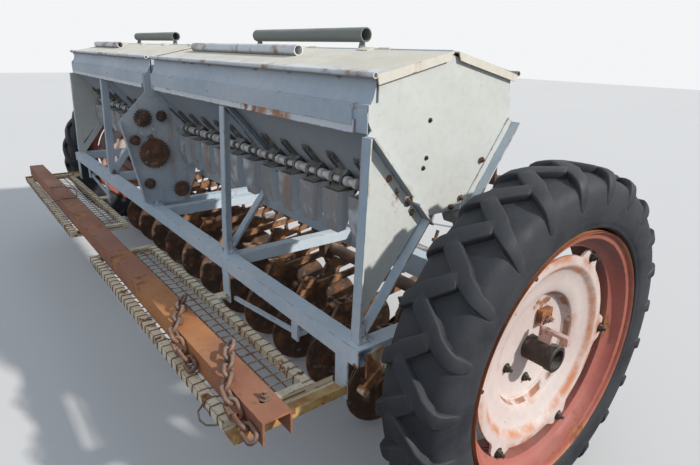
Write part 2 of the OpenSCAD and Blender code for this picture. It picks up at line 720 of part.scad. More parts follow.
// Chains wound over the tow bar, link by link.
// A link is two half rings joined by two straight wires, in its own plane of X and Y.
module link() {
    r = wire_d / 2;
    bend = link_w / 2 - r;
    run_len = link_len - link_w;
    for (s = [-1, 1]) {
        translate([-run_len / 2, s * bend, 0]) rotate([0, 90, 0]) cylinder(r = r, h = run_len);
        translate([s * run_len / 2, 0, 0]) rotate([0, 0, -90 * s])
            rotate_extrude(angle = 180) translate([bend, 0]) circle(r = r, $fn = 16);
    }
}

// Direction of a link from its heading on the bar's top and its dip below the level
function toward(h) = [cos(h[0]) * cos(h[1]), -sin(h[0]) * cos(h[1]), -sin(h[1])];
// Distance between the ends of a link's middle line, and the step back into it
link_span = link_len - wire_d;
link_back = wire_d + 0.5;
// Where each link of a chain starts: each hangs in the loop of the one before
function link_starts(at, way, i = 0) = i >= len(way) ? [] : concat([at],
    link_starts(at + toward(way[i]) * link_span
        - unit(toward(way[i]) + toward(way[min(i + 1, len(way) - 1)])) * link_back, way, i + 1));

module chain(at, way) {
    starts = link_starts(at, way);
    for (i = [0:len(way) - 1]) translate(starts[i] + toward(way[i]) * link_span / 2)
        rotate([0, way[i][1], -way[i][0]]) rotate([way[i][2], 0, 0]) link();
}

// Heading, dip and roll of each link: over the bar's top, its edge and down its outer face
chain_way = [[29, 0, 45], [29, 0, -45], [26, 0, 45], [26, -2, -45], [40, 16, 45],
    [8, 17, -45], [-10, 47, 45], [0, 6, -45], [0, 10, 45]];
chain_x = [1078, 1471];
module tow_chains() color("sienna") place() for (x = chain_x)
    chain([x, bar_y0 + 96.8, board_z + bar_h + 18.6], chain_way);

module corner_bracket() color("darkkhaki") place() {
    along_x(frame_end, 8) polygon([[-rear_y + 30, frame_top - 105], [-rear_y + 130, frame_top - 95],
        [-rear_y + 140, frame_top - 40], [-rear_y + 90, frame_top - 10], [-rear_y + 30, frame_top - 20]]);
    rod_x(frame_end + 7, 34, -rear_y + 96, frame_top - 62, 17);
    along_x(frame_end + 20, 10) polygon(bar([-rear_y + 96, frame_top - 62], [-rear_y + 2, frame_top - 126], 26));
    rod_x(frame_end + 8, 30, -rear_y + 6, frame_top - 124, 13);
}

// Wheels: rim, dished disc and hub in one; the tyre is a ring about it

hub_r = 42;
module wheel_parts() {
    t = 6;
    half = rim_w / 2;
    well_r = lip_r - 62;
    disc_x = half - 66;
    lobe_r = well_r + 1;
    rotate([0, 90, 0]) {
        rotate_extrude($fn = 64) {
            polygon([[lip_r, half], [lip_r - 4, half + 3], [lip_r - t, half], [lip_r - t, half - 8],
                [lip_r - 30, half - 12], [lip_r - 34, half - 40], [well_r, half - 58],
                [well_r, -half + 58], [lip_r - 34, -half + 40], [lip_r - 30, -half + 12],
                [lip_r - t, -half + 8], [lip_r - t, -half], [lip_r - 4, -half - 3], [lip_r, -half],
                [lip_r, -half + 8], [lip_r - 24, -half + 14], [lip_r - 28, -half + 44],
                [well_r + t, -half + 62], [well_r + t, half - 62], [lip_r - 28, half - 44],
                [lip_r - 24, half - 14], [lip_r, half - 8]]);
            // Dished disc with its two pressed steps
            polygon([[lobe_r - 36, disc_x], [300, disc_x], [284, disc_x - 14], [205, disc_x - 30],
                [190, disc_x - 62], [hub_r - 2, disc_x - 62], [hub_r - 2, disc_x - 72], [196, disc_x - 72],
                [212, disc_x - 40], [288, disc_x - 24], [304, disc_x - 10], [lobe_r - 36, disc_x - 10]]);
        }
        // Hub sleeve on the half axle, with an open outer end
        difference() {
            translate([0, 0, -half + 10]) cylinder(r = hub_r, h = rim_w - 32);
            translate([0, 0, -half]) cylinder(r = axle_d / 2 + run, h = rim_w);
            translate([0, 0, half - 48]) cylinder(r = hub_r - 7, h = 40);
        }
        // Flange that the disc is bolted to
        translate([0, 0, disc_x - 90]) difference() {
            cylinder(r = 132, h = 18);
            translate([0, 0, -1]) cylinder(r = hub_r - 2, h = 20);
        }
    }
    // Six lobes of the disc that reach the rim
    for (a = [0:60:300]) rotate([a + 27, 0, 0]) translate([disc_x - 10, 0, 0]) rotate([90, 0, 90])
        linear_extrude(10) polygon([[-86, lobe_r - 44], [86, lobe_r - 44], [34, lobe_r - 4],
            [16, lobe_r], [-16, lobe_r], [-34, lobe_r - 4]]);
    // Lug on the flange, and the clamp with its bar above the sleeve
    translate([disc_x - 62, 18, 74]) cube([22, 62, 54]);
    translate([disc_x - 30, -8, hub_r - 4]) cube([44, 12, 52]);
    translate([disc_x - 20, -14, hub_r + 38]) cube([92, 22, 12]);
    translate([disc_x + 62, -14, hub_r + 22]) cube([10, 22, 18]);
}

half_tyre = tyre_w / 2;
// Half of the tyre's section without its lugs: radius and distance from the middle
function carcass_side() = [[tyre_r - lug_depth - 1, half_tyre * 0.42], [tyre_r - lug_depth - 8, half_tyre * 0.7],
    [tyre_r - lug_depth - 26, half_tyre * 0.89], [tyre_r - 80, half_tyre * 0.965], [tyre_r - 112, half_tyre],
    [tyre_r - 145, half_tyre * 0.97], [lip_r + 6, rim_w / 2 - 4], [lip_r + 1, rim_w / 2 - 9],
    [lip_r - 24 + seat, rim_w / 2 - 16]];
// Half of the section over the lugs, from inside the sidewall up to the tread
function lug_side() = [[tyre_r, 0], [tyre_r - 1, half_tyre * 0.4], [tyre_r - 9, half_tyre * 0.74],
    [tyre_r - 27, half_tyre * 0.92], [tyre_r - 62, half_tyre * 0.999], [tyre_r - 98, half_tyre * 0.999],
    [tyre_r - 116, half_tyre * 0.93]];
function mirrored(side) = [for (i = [len(side) - 1:-1:0]) [side[i][0], -side[i][1]]];

// Line of a lug across the tread: distance from the tyre's middle, then along its round
lug_line = [[-42, 52], [0, 20], [42, -12], [84, -42], [106, -54], [130, -60]];
lug_half = [24, 27, 28, 27, 23, 20];
module lug_bar() {
    top = [for (i = [0:5]) lug_line[i] + [i == 0 ? 8 : 0, lug_half[i]]];
    low = [for (i = [5:-1:0]) lug_line[i] - [i == 0 ? 4 : 0, lug_half[i]]];
    translate([0, 0, tyre_r - 130]) linear_extrude(140) polygon(concat(low, top));
}

lug_phase = 1.2;
module tyre_body() {
    rotate([0, 90, 0]) rotate_extrude($fn = 64)
        polygon(concat([[tyre_r - lug_depth, 0]], carcass_side(), mirrored(carcass_side())));
    // Lugs of both sides reach past the middle and lie in each other's gaps
    intersection() {
        rotate([0, 90, 0]) rotate_extrude($fn = 64) polygon(concat(lug_side(), mirrored(lug_side())));
        for (i = [0:lugs - 1]) {
            rotate([lug_phase + i * 360 / lugs, 0, 0]) lug_bar();
            rotate([lug_phase + (i + 0.5) * 360 / lugs, 0, 0]) mirror([1, 0, 0]) lug_bar();
        }
    }
}

module at_wheel(s) {
    translate([s * wheel_x, 0, axle_z]) mirror([s < 0 ? 1 : 0, 0, 0]) children();
}

module wheel_right() color("mistyrose") place() at_wheel(1) wheel_parts();
module wheel_left() color("mistyrose") place() at_wheel(-1) wheel_parts();
module tyre_right() color("dimgray") place() at_wheel(1) tyre_body();
module tyre_left() color("dimgray") place() at_wheel(-1) tyre_body();

// Folding stand under the drawbar's nose
module stand() color("steelblue") place() {
    difference() {
        union() {
            rod_x(stand_x - 18, 36, stand_y, stand_z, 24);
            translate([stand_x - 18, stand_y - 18, 12]) cube([36, 36, stand_z - 12]);
        }
        rod_x(stand_x - 40, 80, stand_y, stand_z, pin_r - 1 + run);
    }
    translate([stand_x - 80, stand_y - 80, 0]) cube([160, 160, 12]);
    // Ribs between the foot and the post
    translate([stand_x - 4, stand_y - 60, 11]) rotate([90, 0, 90]) linear_extrude(8)
        polygon([[0, 0], [120, 0], [78, 60], [42, 60]]);
}

// Openers: body with its draw bar, two toed-in discs and a sprung press rod

rod_pin_y = shaft_y + 25;
rod_pin_z = pivot_z + 2;
rod_eye_r = 9.7;
disc_off = 17;
module opener(y) {
    bar_in = [y + 58, disc_z + 200];
    difference() {
        union() {
            along_x(-8, 16) polygon(bar([pivot_y, pivot_z], bar_in, 36));
            rod_x(-15, 30, pivot_y, pivot_z, 19);
            // Body plate between the discs
            along_x(-9, 18) polygon([[y - 22, disc_z - 34], [y + 24, disc_z - 34], [y + 44, disc_z + 60],
                [y + 80, disc_z + 190], [y + 76, disc_z + 224], [y - 6, disc_z + 236],
                [y - 36, disc_z + 190], [y - 40, disc_z + 60]]);
            // Seed funnel on top of the body
            difference() {
                along_x(-26, 52) polygon([[y + 52, disc_z + 210], [y + 6, disc_z + 216],
                    [y - 12, disc_z + 262], [y + 74, disc_z + 250]]);
                along_x(-20, 40) polygon([[y + 46, disc_z + 230], [y + 14, disc_z + 234],
                    [y + 2, disc_z + 270], [y + 60, disc_z + 262]]);
            }
            for (s = [-1, 1]) translate([0, y, disc_z]) rotate([0, 0, -s * disc_toe]) rotate([0, s * 90, 0])
                cylinder(r = 24, h = disc_off);
        }
        rod_x(-30, 60, pivot_y, pivot_z, pivot_r + run);
    }
    // Ear for the press rod's pin
    along_x(-8, 16) polygon([[rod_pin_y - 20, rod_pin_z - 44], [rod_pin_y + 20, rod_pin_z - 44],
        [rod_pin_y + 12, rod_pin_z - 10], [rod_pin_y - 12, rod_pin_z - 10]]);
}

function opener_y(i) = i % 2 == 0 ? front_row_y : -rear_row_y;

module opener_bodies() color("saddlebrown") place() for (i = [0:openers - 1])
    translate([row_x(i), 0, 0]) opener(opener_y(i));

module opener_discs() color("brown") place() for (i = [0:openers - 1], s = [-1, 1])
    translate([row_x(i), opener_y(i), disc_z]) rotate([0, 0, -s * disc_toe]) rotate([0, s * 90, 0])
        translate([0, 0, disc_off + seat]) {
            cylinder(r = disc_r, h = 4);
            translate([0, 0, 4]) cylinder(r1 = 40, r2 = 30, h = 12);
            translate([0, 0, 15]) cylinder(r = 12, h = 7);
        }

// Sprung rods between the openers and the forks of the lift shaft
arm_r = 97;
arm_rest = -19.6;
fork = [shaft_y + arm_r * cos(arm_rest), shaft_z + arm_r * sin(arm_rest)];
rod_dir = unit(fork - [rod_pin_y, rod_pin_z]);
fork_at = norm(fork - [rod_pin_y, rod_pin_z]);
module along_rod(d) {
    translate([0, rod_pin_y + rod_dir[0] * d, rod_pin_z + rod_dir[1] * d])
        rotate([-acos(rod_dir[1]), 0, 0]) children();
}

coils = 7;
spring_r = 24;
module press_rods() color("sienna") place() for (i = [0:openers - 1]) translate([row_x(i), 0, 0]) {
    rod_x(-11, 22, rod_pin_y, rod_pin_z, rod_eye_r);
    along_rod(0) cylinder(r = 8, h = fork_at + 112);
    // Spring between its two seats
    along_rod(58) cylinder(r = spring_r, h = 5);
    along_rod(62) rotate_extrude() polygon(concat([[7, 0]], [for (k = [0:coils - 1], c = [[0, 0], [0.3, 1], [0.6, 1], [0.9, 0]])
        [spring_r - 7 + 7 * c[1], (k + c[0]) * 104 / coils]], [[7, 104]]));
    along_rod(164) cylinder(r = spring_r, h = 5);
    along_rod(fork_at + 56) cylinder(r = 17, h = 14, $fn = 6);
}

lever_r = 120;
lever_tip = [shaft_y + lever_r * sin(-arm_rest), shaft_z + lever_r * cos(arm_rest)];
lever_pin_r = 10;
lever_gap = 13;
lever_t = 8;
module lift_shaft() color("slategray") place() {
    half = frame_end - 50;
    a = [cos(arm_rest), sin(arm_rest)];
    rod_x(-half, 2 * half, shaft_y, shaft_z, shaft_r);
    for (i = [0:openers - 1], s = [-1, 1]) translate([row_x(i), 0, 0])
        along_x(s * 20 - 4, 8) polygon(bar([shaft_y, shaft_z], [shaft_y, shaft_z] + a * (arm_r + 24), 20));
    for (x = [-lever_gap - lever_t, lever_gap]) along_x(x, lever_t)
        polygon(bar([shaft_y, shaft_z], lever_tip + unit(lever_tip - [shaft_y, shaft_z]) * 20, 40));
    rod_x(-lever_gap - lever_t, 2 * (lever_gap + lever_t), lever_tip[0], lever_tip[1], lever_pin_r);
}

cyl_dir = unit(lever_tip - [cyl_y, cyl_z]);
cyl_len = norm(lever_tip - [cyl_y, cyl_z]);
piston_r = 16;
module along_cylinder(d) {
    translate([0, cyl_y + cyl_dir[0] * d, cyl_z + cyl_dir[1] * d])
        rotate([90 - atan(cyl_dir[1] / -cyl_dir[0]), 0, 0]) children();
}

module cylinder_barrel() color("firebrick") place() difference() {
    union() {
        rod_x(-18, 36, cyl_y, cyl_z, 26);
        along_cylinder(10) cylinder(r = 17, h = 50);
        along_cylinder(54) cylinder(r = 38, h = 436);
        along_cylinder(470) cylinder(r = 42, h = 24);
    }
    rod_x(-30, 60, cyl_y, cyl_z, pin_r + run);
    along_cylinder(90) cylinder(r = piston_r + run, h = 500);
}

// How far the pin rises in the slotted eye of the rod half way through the lift
eye_float = lever_r * (1 - cos(arm_rest)) + 0.5;
// Clearance of the pin in that eye
eye_fit = 1.5;
eye_top = lever_tip - left_of(cyl_dir) * eye_float;
module slot_x(x0, len, r) {
    for (c = [lever_tip, eye_top]) rod_x(x0, len, c[0], c[1], r);
    along_x(x0, len) polygon(bar(lever_tip, eye_top, 2 * r - 0.6));
}

module cylinder_rod() color("silver") place() difference() {
    union() {
        along_cylinder(250) cylinder(r = piston_r, h = cyl_len - 250 - 42);
        along_cylinder(cyl_len - 50) cylinder(r = 11, h = 40);
        slot_x(-11, 22, 22);
    }
    slot_x(-30, 60, lever_pin_r + eye_fit);
}

front_beam();
rear_beam();
side_members();
cross_members();
half_axles();
opener_beam();
lift_bearings();
drawbar();
hitch();
hopper_right();
hopper_left();
hopper_supports();
drive_plate();
drive_wheels();
fertiliser_units();
fertiliser_shafts();
grain_units();
grain_shafts();
frame_legs();
truss_rod();
footboard_right();
footboard_left();
tow_bar();
tow_chains();
corner_bracket();
wheel_right();
tyre_right();
wheel_left();
tyre_left();
lid_rear_right();
lid_front_right();
lid_rear_left();
lid_front_left();
stand();
opener_bodies();
opener_discs();
press_rods();
lift_shaft();
cylinder_barrel();
cylinder_rod();
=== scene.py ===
# Looks of a trailed seed drill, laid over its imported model. Metres; +X right, +Y forwards, +Z up.
import math
import random

import bmesh
import bpy
from mathutils import Matrix, Vector
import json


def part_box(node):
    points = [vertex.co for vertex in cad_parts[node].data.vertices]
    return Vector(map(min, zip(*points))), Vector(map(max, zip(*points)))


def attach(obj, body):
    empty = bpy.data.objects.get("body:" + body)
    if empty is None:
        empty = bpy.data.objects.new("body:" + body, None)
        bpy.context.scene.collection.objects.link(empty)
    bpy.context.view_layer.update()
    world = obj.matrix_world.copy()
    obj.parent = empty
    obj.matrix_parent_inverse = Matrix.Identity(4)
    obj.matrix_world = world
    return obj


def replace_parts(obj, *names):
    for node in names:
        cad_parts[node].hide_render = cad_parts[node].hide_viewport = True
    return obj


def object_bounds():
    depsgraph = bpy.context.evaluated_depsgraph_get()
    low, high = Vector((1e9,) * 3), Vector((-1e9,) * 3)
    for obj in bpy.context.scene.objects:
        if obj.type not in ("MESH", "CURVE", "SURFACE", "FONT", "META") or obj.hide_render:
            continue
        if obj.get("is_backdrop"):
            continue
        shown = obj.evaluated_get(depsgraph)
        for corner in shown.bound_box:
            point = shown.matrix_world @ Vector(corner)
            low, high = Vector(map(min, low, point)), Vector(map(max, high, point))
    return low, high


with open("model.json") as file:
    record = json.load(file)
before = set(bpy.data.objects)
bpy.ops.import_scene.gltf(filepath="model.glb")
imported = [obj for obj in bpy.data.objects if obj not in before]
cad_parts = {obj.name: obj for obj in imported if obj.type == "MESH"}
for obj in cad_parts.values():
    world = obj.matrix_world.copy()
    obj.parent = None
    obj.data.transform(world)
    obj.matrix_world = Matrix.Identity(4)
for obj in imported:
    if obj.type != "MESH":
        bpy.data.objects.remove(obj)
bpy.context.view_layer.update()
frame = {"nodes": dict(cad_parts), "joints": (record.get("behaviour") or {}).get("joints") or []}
nodes = frame["nodes"]

# The yard: a plain pale floor, a soft high sun from the front right and an even sky. The camera
# stands behind the right wheel at eye level, as the photograph was taken.
camera_place = Vector((2.8323, -2.2672, 1.5303))
camera_yaw = 0.8976
camera_pitch = 0.3364
camera_roll = 0.0266
camera = bpy.data.objects.new("camera", bpy.data.cameras.new("camera"))
camera.data.lens = 26.78
camera.data.sensor_width = 36
camera.data.clip_end = 200
camera.matrix_world = (Matrix.Translation(camera_place) @ Matrix.Rotation(camera_yaw, 4, "Z")
    @ Matrix.Rotation(math.pi / 2 - camera_pitch, 4, "X") @ Matrix.Rotation(camera_roll, 4, "Z"))
bpy.context.scene.collection.objects.link(camera)
bpy.context.scene.camera = camera
bpy.context.scene.view_settings.view_transform = "Standard"


def lamp(name, kind, strength, colour, direction, **settings):
    """A lamp that shines along a direction."""
    light = bpy.data.objects.new(name, bpy.data.lights.new(name, kind))
    light.data.energy = strength
    light.data.color = colour
    for key, value in settings.items():
        setattr(light.data, key, value)
    light.rotation_euler = Vector(direction).to_track_quat("-Z", "Y").to_euler()
    bpy.context.scene.collection.objects.link(light)


lamp("sun", "SUN", 3.5, (1.0, 0.96, 0.9), (-0.76, -0.36, -0.54), angle=0.04)
lamp("sky_fill", "SUN", 0.3, (0.88, 0.94, 1.0), (-0.2, 0.7, -0.6), angle=1.2)


def add(tree, kind, inputs=None, **settings):
    """A shader node with its settings, its inputs either linked or given as values."""
    made = tree.nodes.new(kind)
    for key, value in settings.items():
        setattr(made, key, value)
    for key, value in (inputs or {}).items():
        if isinstance(value, bpy.types.NodeSocket):
            tree.links.new(value, made.inputs[key])
        else:
            made.inputs[key].default_value = value
    return made


def new_material(name):
    """An empty material with its shader, and its tree."""
    material = bpy.data.materials.new(name)
    material.use_nodes = True
    tree = material.node_tree
    return material, tree, tree.nodes["Principled BSDF"]


world = bpy.data.worlds.new("sky")
bpy.context.scene.world = world
world.use_nodes = True
sky = world.node_tree
seen = add(sky, "ShaderNodeLightPath")
either = add(sky, "ShaderNodeMath",
    {0: seen.outputs["Is Camera Ray"], 1: seen.outputs["Is Glossy Ray"]}, operation="MAXIMUM")
lit = add(sky, "ShaderNodeBackground", {"Color": (0.78, 0.87, 1.0, 1), "Strength": 0.55})
shown = add(sky, "ShaderNodeBackground", {"Color": (0.90, 0.91, 0.92, 1), "Strength": 1.0})
mixed = add(sky, "ShaderNodeMixShader", {0: either.outputs[0], 1: lit.outputs[0], 2: shown.outputs[0]})
sky.links.new(mixed.outputs[0], sky.nodes["World Output"].inputs[0])

floor_mesh = bmesh.new()
bmesh.ops.create_grid(floor_mesh, x_segments=1, y_segments=1, size=30)
floor_data = bpy.data.meshes.new("floor")
floor_mesh.to_mesh(floor_data)
floor = bpy.data.objects.new("floor", floor_data)
bpy.context.scene.collection.objects.link(floor)
floor_finish, tree, shader = new_material("pale_floor")
speck = add(tree, "ShaderNodeTexNoise", {"Scale": 9.0, "Detail": 6.0})
tone = add(tree, "ShaderNodeMix",
    {"Factor": speck.outputs[0], 6: (0.60, 0.60, 0.60, 1), 7: (0.66, 0.66, 0.65, 1)}, data_type="RGBA")
# Seen pale, but as dark as gravel to the light that it throws up under the machine
looked_at = add(tree, "ShaderNodeLightPath").outputs["Is Camera Ray"]
ground = add(tree, "ShaderNodeMix",
    {"Factor": looked_at, 6: (0.20, 0.19, 0.18, 1), 7: tone.outputs[2]}, data_type="RGBA")
tree.links.new(ground.outputs[2], shader.inputs["Base Color"])
shader.inputs["Roughness"].default_value = 0.9
floor.data.materials.append(floor_finish)
floor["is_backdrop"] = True

# Frame: square tubes of rolled steel, welded together and sprayed pale blue-grey. The paint has
# chipped to rust along the edges, faded on top and taken dust and rain streaks.


def new_group(name, inputs, outputs):
    """A shader node group with named sockets; inputs give each one's kind and first value."""
    group = bpy.data.node_groups.new(name, "ShaderNodeTree")
    for socket, value in inputs.items():
        kind = "NodeSocketColor" if isinstance(value, tuple) else "NodeSocketFloat"
        group.interface.new_socket(socket, in_out="INPUT", socket_type=kind).default_value = value
    for socket, kind in outputs.items():
        group.interface.new_socket(socket, in_out="OUTPUT", socket_type=kind)
    return group, add(group, "NodeGroupInput").outputs, add(group, "NodeGroupOutput").inputs


def maths(tree, operation, first, second=0.0, clamp=False):
    """One arithmetic node and its result."""
    return add(tree, "ShaderNodeMath", {0: first, 1: second}, operation=operation, use_clamp=clamp).outputs[0]


def ramp(tree, value, low, high):
    """A value spread from 0 at low to 1 at high."""
    return add(tree, "ShaderNodeMapRange", {0: value, 1: low, 2: high},
        interpolation_type="SMOOTHSTEP").outputs[0]


def object_place(tree):
    """The place on the object, which is also the place on the machine."""
    return add(tree, "ShaderNodeTexCoord").outputs["Object"]


def facing(tree, axis):
    """How far the surface faces along X, Y or Z."""
    normal = add(tree, "ShaderNodeNewGeometry").outputs["Normal"]
    return add(tree, "ShaderNodeSeparateXYZ", {0: normal}).outputs[axis]


def blend(tree, factor, first, second, kind="MIX"):
    """Two colours mixed by a factor."""
    return add(tree, "ShaderNodeMix", {"Factor": factor, 6: first, 7: second}, data_type="RGBA",
        blend_type=kind).outputs[2]


# Blotches with ragged borders, over a share of the surface
blotches, given, out = new_group("blotches", {"Scale": 8.0, "Share": 0.3, "Soft": 0.04, "Seed": 0.0},
    {"Mask": "NodeSocketFloat"})
field = add(blotches, "ShaderNodeTexNoise", {"Vector": object_place(blotches), "W": given["Seed"],
    "Scale": given["Scale"], "Detail": 7.0, "Roughness": 0.62}, noise_dimensions="4D").outputs[0]
line = add(blotches, "ShaderNodeMath", {0: given["Share"], 1: -0.42, 2: 0.72},
    operation="MULTIPLY_ADD").outputs[0]
blotches.links.new(ramp(blotches, field, maths(blotches, "SUBTRACT", line, given["Soft"]),
    maths(blotches, "ADD", line, given["Soft"])), out["Mask"])

# Wear along the edges of the metal
edge_wear, given, out = new_group("edge_wear", {"Width": 0.006, "Break": 0.5}, {"Mask": "NodeSocketFloat"})
rounded = add(edge_wear, "ShaderNodeBevel", {"Radius": given["Width"]}, samples=4).outputs[0]
true = add(edge_wear, "ShaderNodeNewGeometry").outputs["Normal"]
turned = add(edge_wear, "ShaderNodeVectorMath", {0: rounded, 1: true},
    operation="DOT_PRODUCT").outputs["Value"]
edge = ramp(edge_wear, maths(edge_wear, "SUBTRACT", 1.0, turned), 0.01, 0.12)
gaps = add(edge_wear, "ShaderNodeTexNoise",
    {"Vector": object_place(edge_wear), "Scale": 22.0, "Detail": 5.0}).outputs[0]
kept = ramp(edge_wear, gaps, maths(edge_wear, "SUBTRACT", given["Break"], 0.1),
    maths(edge_wear, "ADD", given["Break"], 0.06))
edge_wear.links.new(maths(edge_wear, "MULTIPLY", edge, kept), out["Mask"])

# Runs of rust and dirt that rain has drawn down a wall
runs, given, out = new_group("runs", {"Scale": 14.0, "Share": 0.4}, {"Mask": "NodeSocketFloat"})
drawn_out = add(runs, "ShaderNodeMapping",
    {"Vector": object_place(runs), "Scale": (1.0, 1.0, 0.07)}).outputs[0]
field = add(runs, "ShaderNodeTexNoise",
    {"Vector": drawn_out, "Scale": given["Scale"], "Detail": 5.0}).outputs[0]
wall = maths(runs, "SUBTRACT", 1.0, maths(runs, "ABSOLUTE", facing(runs, 2)), clamp=True)
line = maths(runs, "SUBTRACT", 0.72, maths(runs, "MULTIPLY", given["Share"], 0.4))
run_mask = ramp(runs, field, line, maths(runs, "ADD", line, 0.16))
runs.links.new(maths(runs, "MULTIPLY", run_mask, wall), out["Mask"])

# Dust that lies on what faces upwards
settled, given, out = new_group("settled_dust", {"Scale": 5.0}, {"Mask": "NodeSocketFloat"})
field = add(settled, "ShaderNodeTexNoise",
    {"Vector": object_place(settled), "Scale": given["Scale"], "Detail": 6.0}).outputs[0]
settled.links.new(maths(settled, "MULTIPLY", ramp(settled, facing(settled, 2), 0.2, 0.95),
    ramp(settled, field, 0.3, 0.7)), out["Mask"])


def use(tree, group, **values):
    """A shader node group placed in a material, and its first output."""
    placed = add(tree, "ShaderNodeGroup", node_tree=group)
    for socket, value in values.items():
        placed.inputs[socket].default_value = value
    return placed.outputs[0]


def worn_paint(name, paint, faded, rust, deep_rust, dust, rusty=0.25, edges=0.45, dusty=0.5,
        streaked=0.35, roughness=0.55, dents=0.0, scale=1.0, underside_shade=0.55, areas=None):
    """Old sprayed paint: faded in clouds, dusty, streaked, darkened underneath with painted shade and chipped
    to rust.

    areas is a function that recolours parts of the paint before it wears."""
    material, tree, shader = new_material(name)
    cloud = use(tree, blotches, Scale=2.2 * scale, Share=0.55, Soft=0.16, Seed=1.0)
    colour = blend(tree, cloud, (*paint, 1), (*faded, 1))
    if areas:
        colour = areas(tree, colour)
    fine = use(tree, blotches, Scale=38.0 * scale, Share=0.42, Soft=0.1, Seed=4.0)
    colour = blend(tree, maths(tree, "MULTIPLY", fine, 0.07), colour, (*deep_rust, 1))
    # Painted shade: what faces downwards is darkened towards dark grey, as the shade under things.
    below = ramp(tree, facing(tree, 2), -0.25, -0.7)
    colour = blend(tree, maths(tree, "MULTIPLY", below, underside_shade), colour, (0.10, 0.10, 0.105, 1))
    stain = use(tree, runs, Scale=16.0 * scale, Share=streaked)
    colour = blend(tree, maths(tree, "MULTIPLY", stain, 0.5), colour, (*rust, 1))
    film = use(tree, settled, Scale=6.0 * scale)
    colour = blend(tree, maths(tree, "MULTIPLY", film, dusty), colour, (*dust, 1))
    spots = use(tree, blotches, Scale=7.0 * scale, Share=rusty, Soft=0.025, Seed=7.0)
    pits = use(tree, blotches, Scale=60.0 * scale, Share=rusty * 0.8, Soft=0.05, Seed=9.0)
    rim = use(tree, edge_wear, Width=0.006, Break=1.0 - edges)
    bare = maths(tree, "MAXIMUM", maths(tree, "MAXIMUM", spots, maths(tree, "MULTIPLY", pits, 0.8)), rim)
    two = use(tree, blotches, Scale=30.0 * scale, Share=0.5, Soft=0.15, Seed=12.0)
    iron = blend(tree, two, (*rust, 1), (*deep_rust, 1))
    tree.links.new(blend(tree, bare, colour, iron), shader.inputs["Base Color"])
    rough = add(tree, "ShaderNodeMapRange",
        {0: maths(tree, "MAXIMUM", bare, film), 3: roughness, 4: 0.92}).outputs[0]
    tree.links.new(rough, shader.inputs["Roughness"])
    grain = add(tree, "ShaderNodeTexNoise",
        {"Vector": object_place(tree), "Scale": 160.0, "Detail": 3.0}).outputs[0]
    height = maths(tree, "SUBTRACT", maths(tree, "MULTIPLY", grain, 0.25), maths(tree, "MULTIPLY", bare, 0.5))
    bump = add(tree, "ShaderNodeBump", {"Height": height, "Strength": 0.35, "Distance": 0.0015}).outputs[0]
    if dents:
        wave = add(tree, "ShaderNodeTexNoise",
            {"Vector": object_place(tree), "Scale": 4.0, "Detail": 2.0}).outputs[0]
        bump = add(tree, "ShaderNodeBump",
            {"Height": wave, "Normal": bump, "Strength": 0.6, "Distance": dents}).outputs[0]
    tree.links.new(bump, shader.inputs["Normal"])
    return material


def dress(material, *names):
    """Gives CAD nodes their material."""
    for name in names:
        nodes[name].data.materials.clear()
        nodes[name].data.materials.append(material)


def within(tree, axis, low, high, soft=0.003):
    """1 where the X, Y or Z of the object lies between two values."""
    value = add(tree, "ShaderNodeSeparateXYZ", {0: object_place(tree)}).outputs[axis]
    return maths(tree, "SUBTRACT", ramp(tree, value, low - soft, low + soft),
        ramp(tree, value, high - soft, high + soft), clamp=True)


def beyond(tree, reach):
    """1 where the object lies further out to either side than a distance."""
    return maths(tree, "SUBTRACT", 1.0, within(tree, 0, -reach, reach), clamp=True)


rust_orange = (0.36, 0.15, 0.06)
rust_brown = (0.12, 0.055, 0.03)
dust_colour = (0.50, 0.46, 0.40)
frame_finish = worn_paint("frame_paint", (0.47, 0.59, 0.69), (0.60, 0.68, 0.74), rust_orange, rust_brown,
    dust_colour, rusty=0.12, edges=0.42, dusty=0.25, streaked=0.2)
dress(frame_finish, "front_beam", "rear_beam", "side_members", "cross_members", "frame_legs", "truss_rod")

# Stands: posts, braces and end gussets of angle and sheet steel, bolted between frame and hoppers and
# painted like the frame. What faces sideways at the ends is lightened to a chalky white with painted
# sunlight.
end_sheets_x = 1.755


def sunlit_ends(tree, colour):
    """Painted sunlight: sheets at the ends that face sideways, made near-white."""
    sideways = ramp(tree, maths(tree, "ABSOLUTE", facing(tree, 0)), 0.75, 0.95)
    ends = maths(tree, "MULTIPLY", sideways, beyond(tree, end_sheets_x))
    return blend(tree, ends, colour, (0.57, 0.59, 0.56, 1))


stand_finish = worn_paint("stand_paint", (0.38, 0.48, 0.57), (0.50, 0.57, 0.63), rust_orange, rust_brown,
    dust_colour, rusty=0.1, edges=0.42, dusty=0.25, streaked=0.2, areas=sunlit_ends)
dress(stand_finish, "hopper_supports")

# Drawbar and folding stand: two pipes welded between nose plates in front and bolted to the frame, and
# a leg on a pin below the nose, in the frame's paint but more scuffed and rusty from hitching.
drawbar_finish = worn_paint("drawbar_paint", (0.26, 0.33, 0.40), (0.40, 0.46, 0.50), rust_orange, rust_brown,
    dust_colour, rusty=0.2, edges=0.5, dusty=0.5)
dress(drawbar_finish, "drawbar", "stand")

# Iron without paint: forged and cast axles, openers, chain wheels and hitch, welded or bolted on. They
# have rusted all over, dark brown with orange blooms, and hold dust on top.


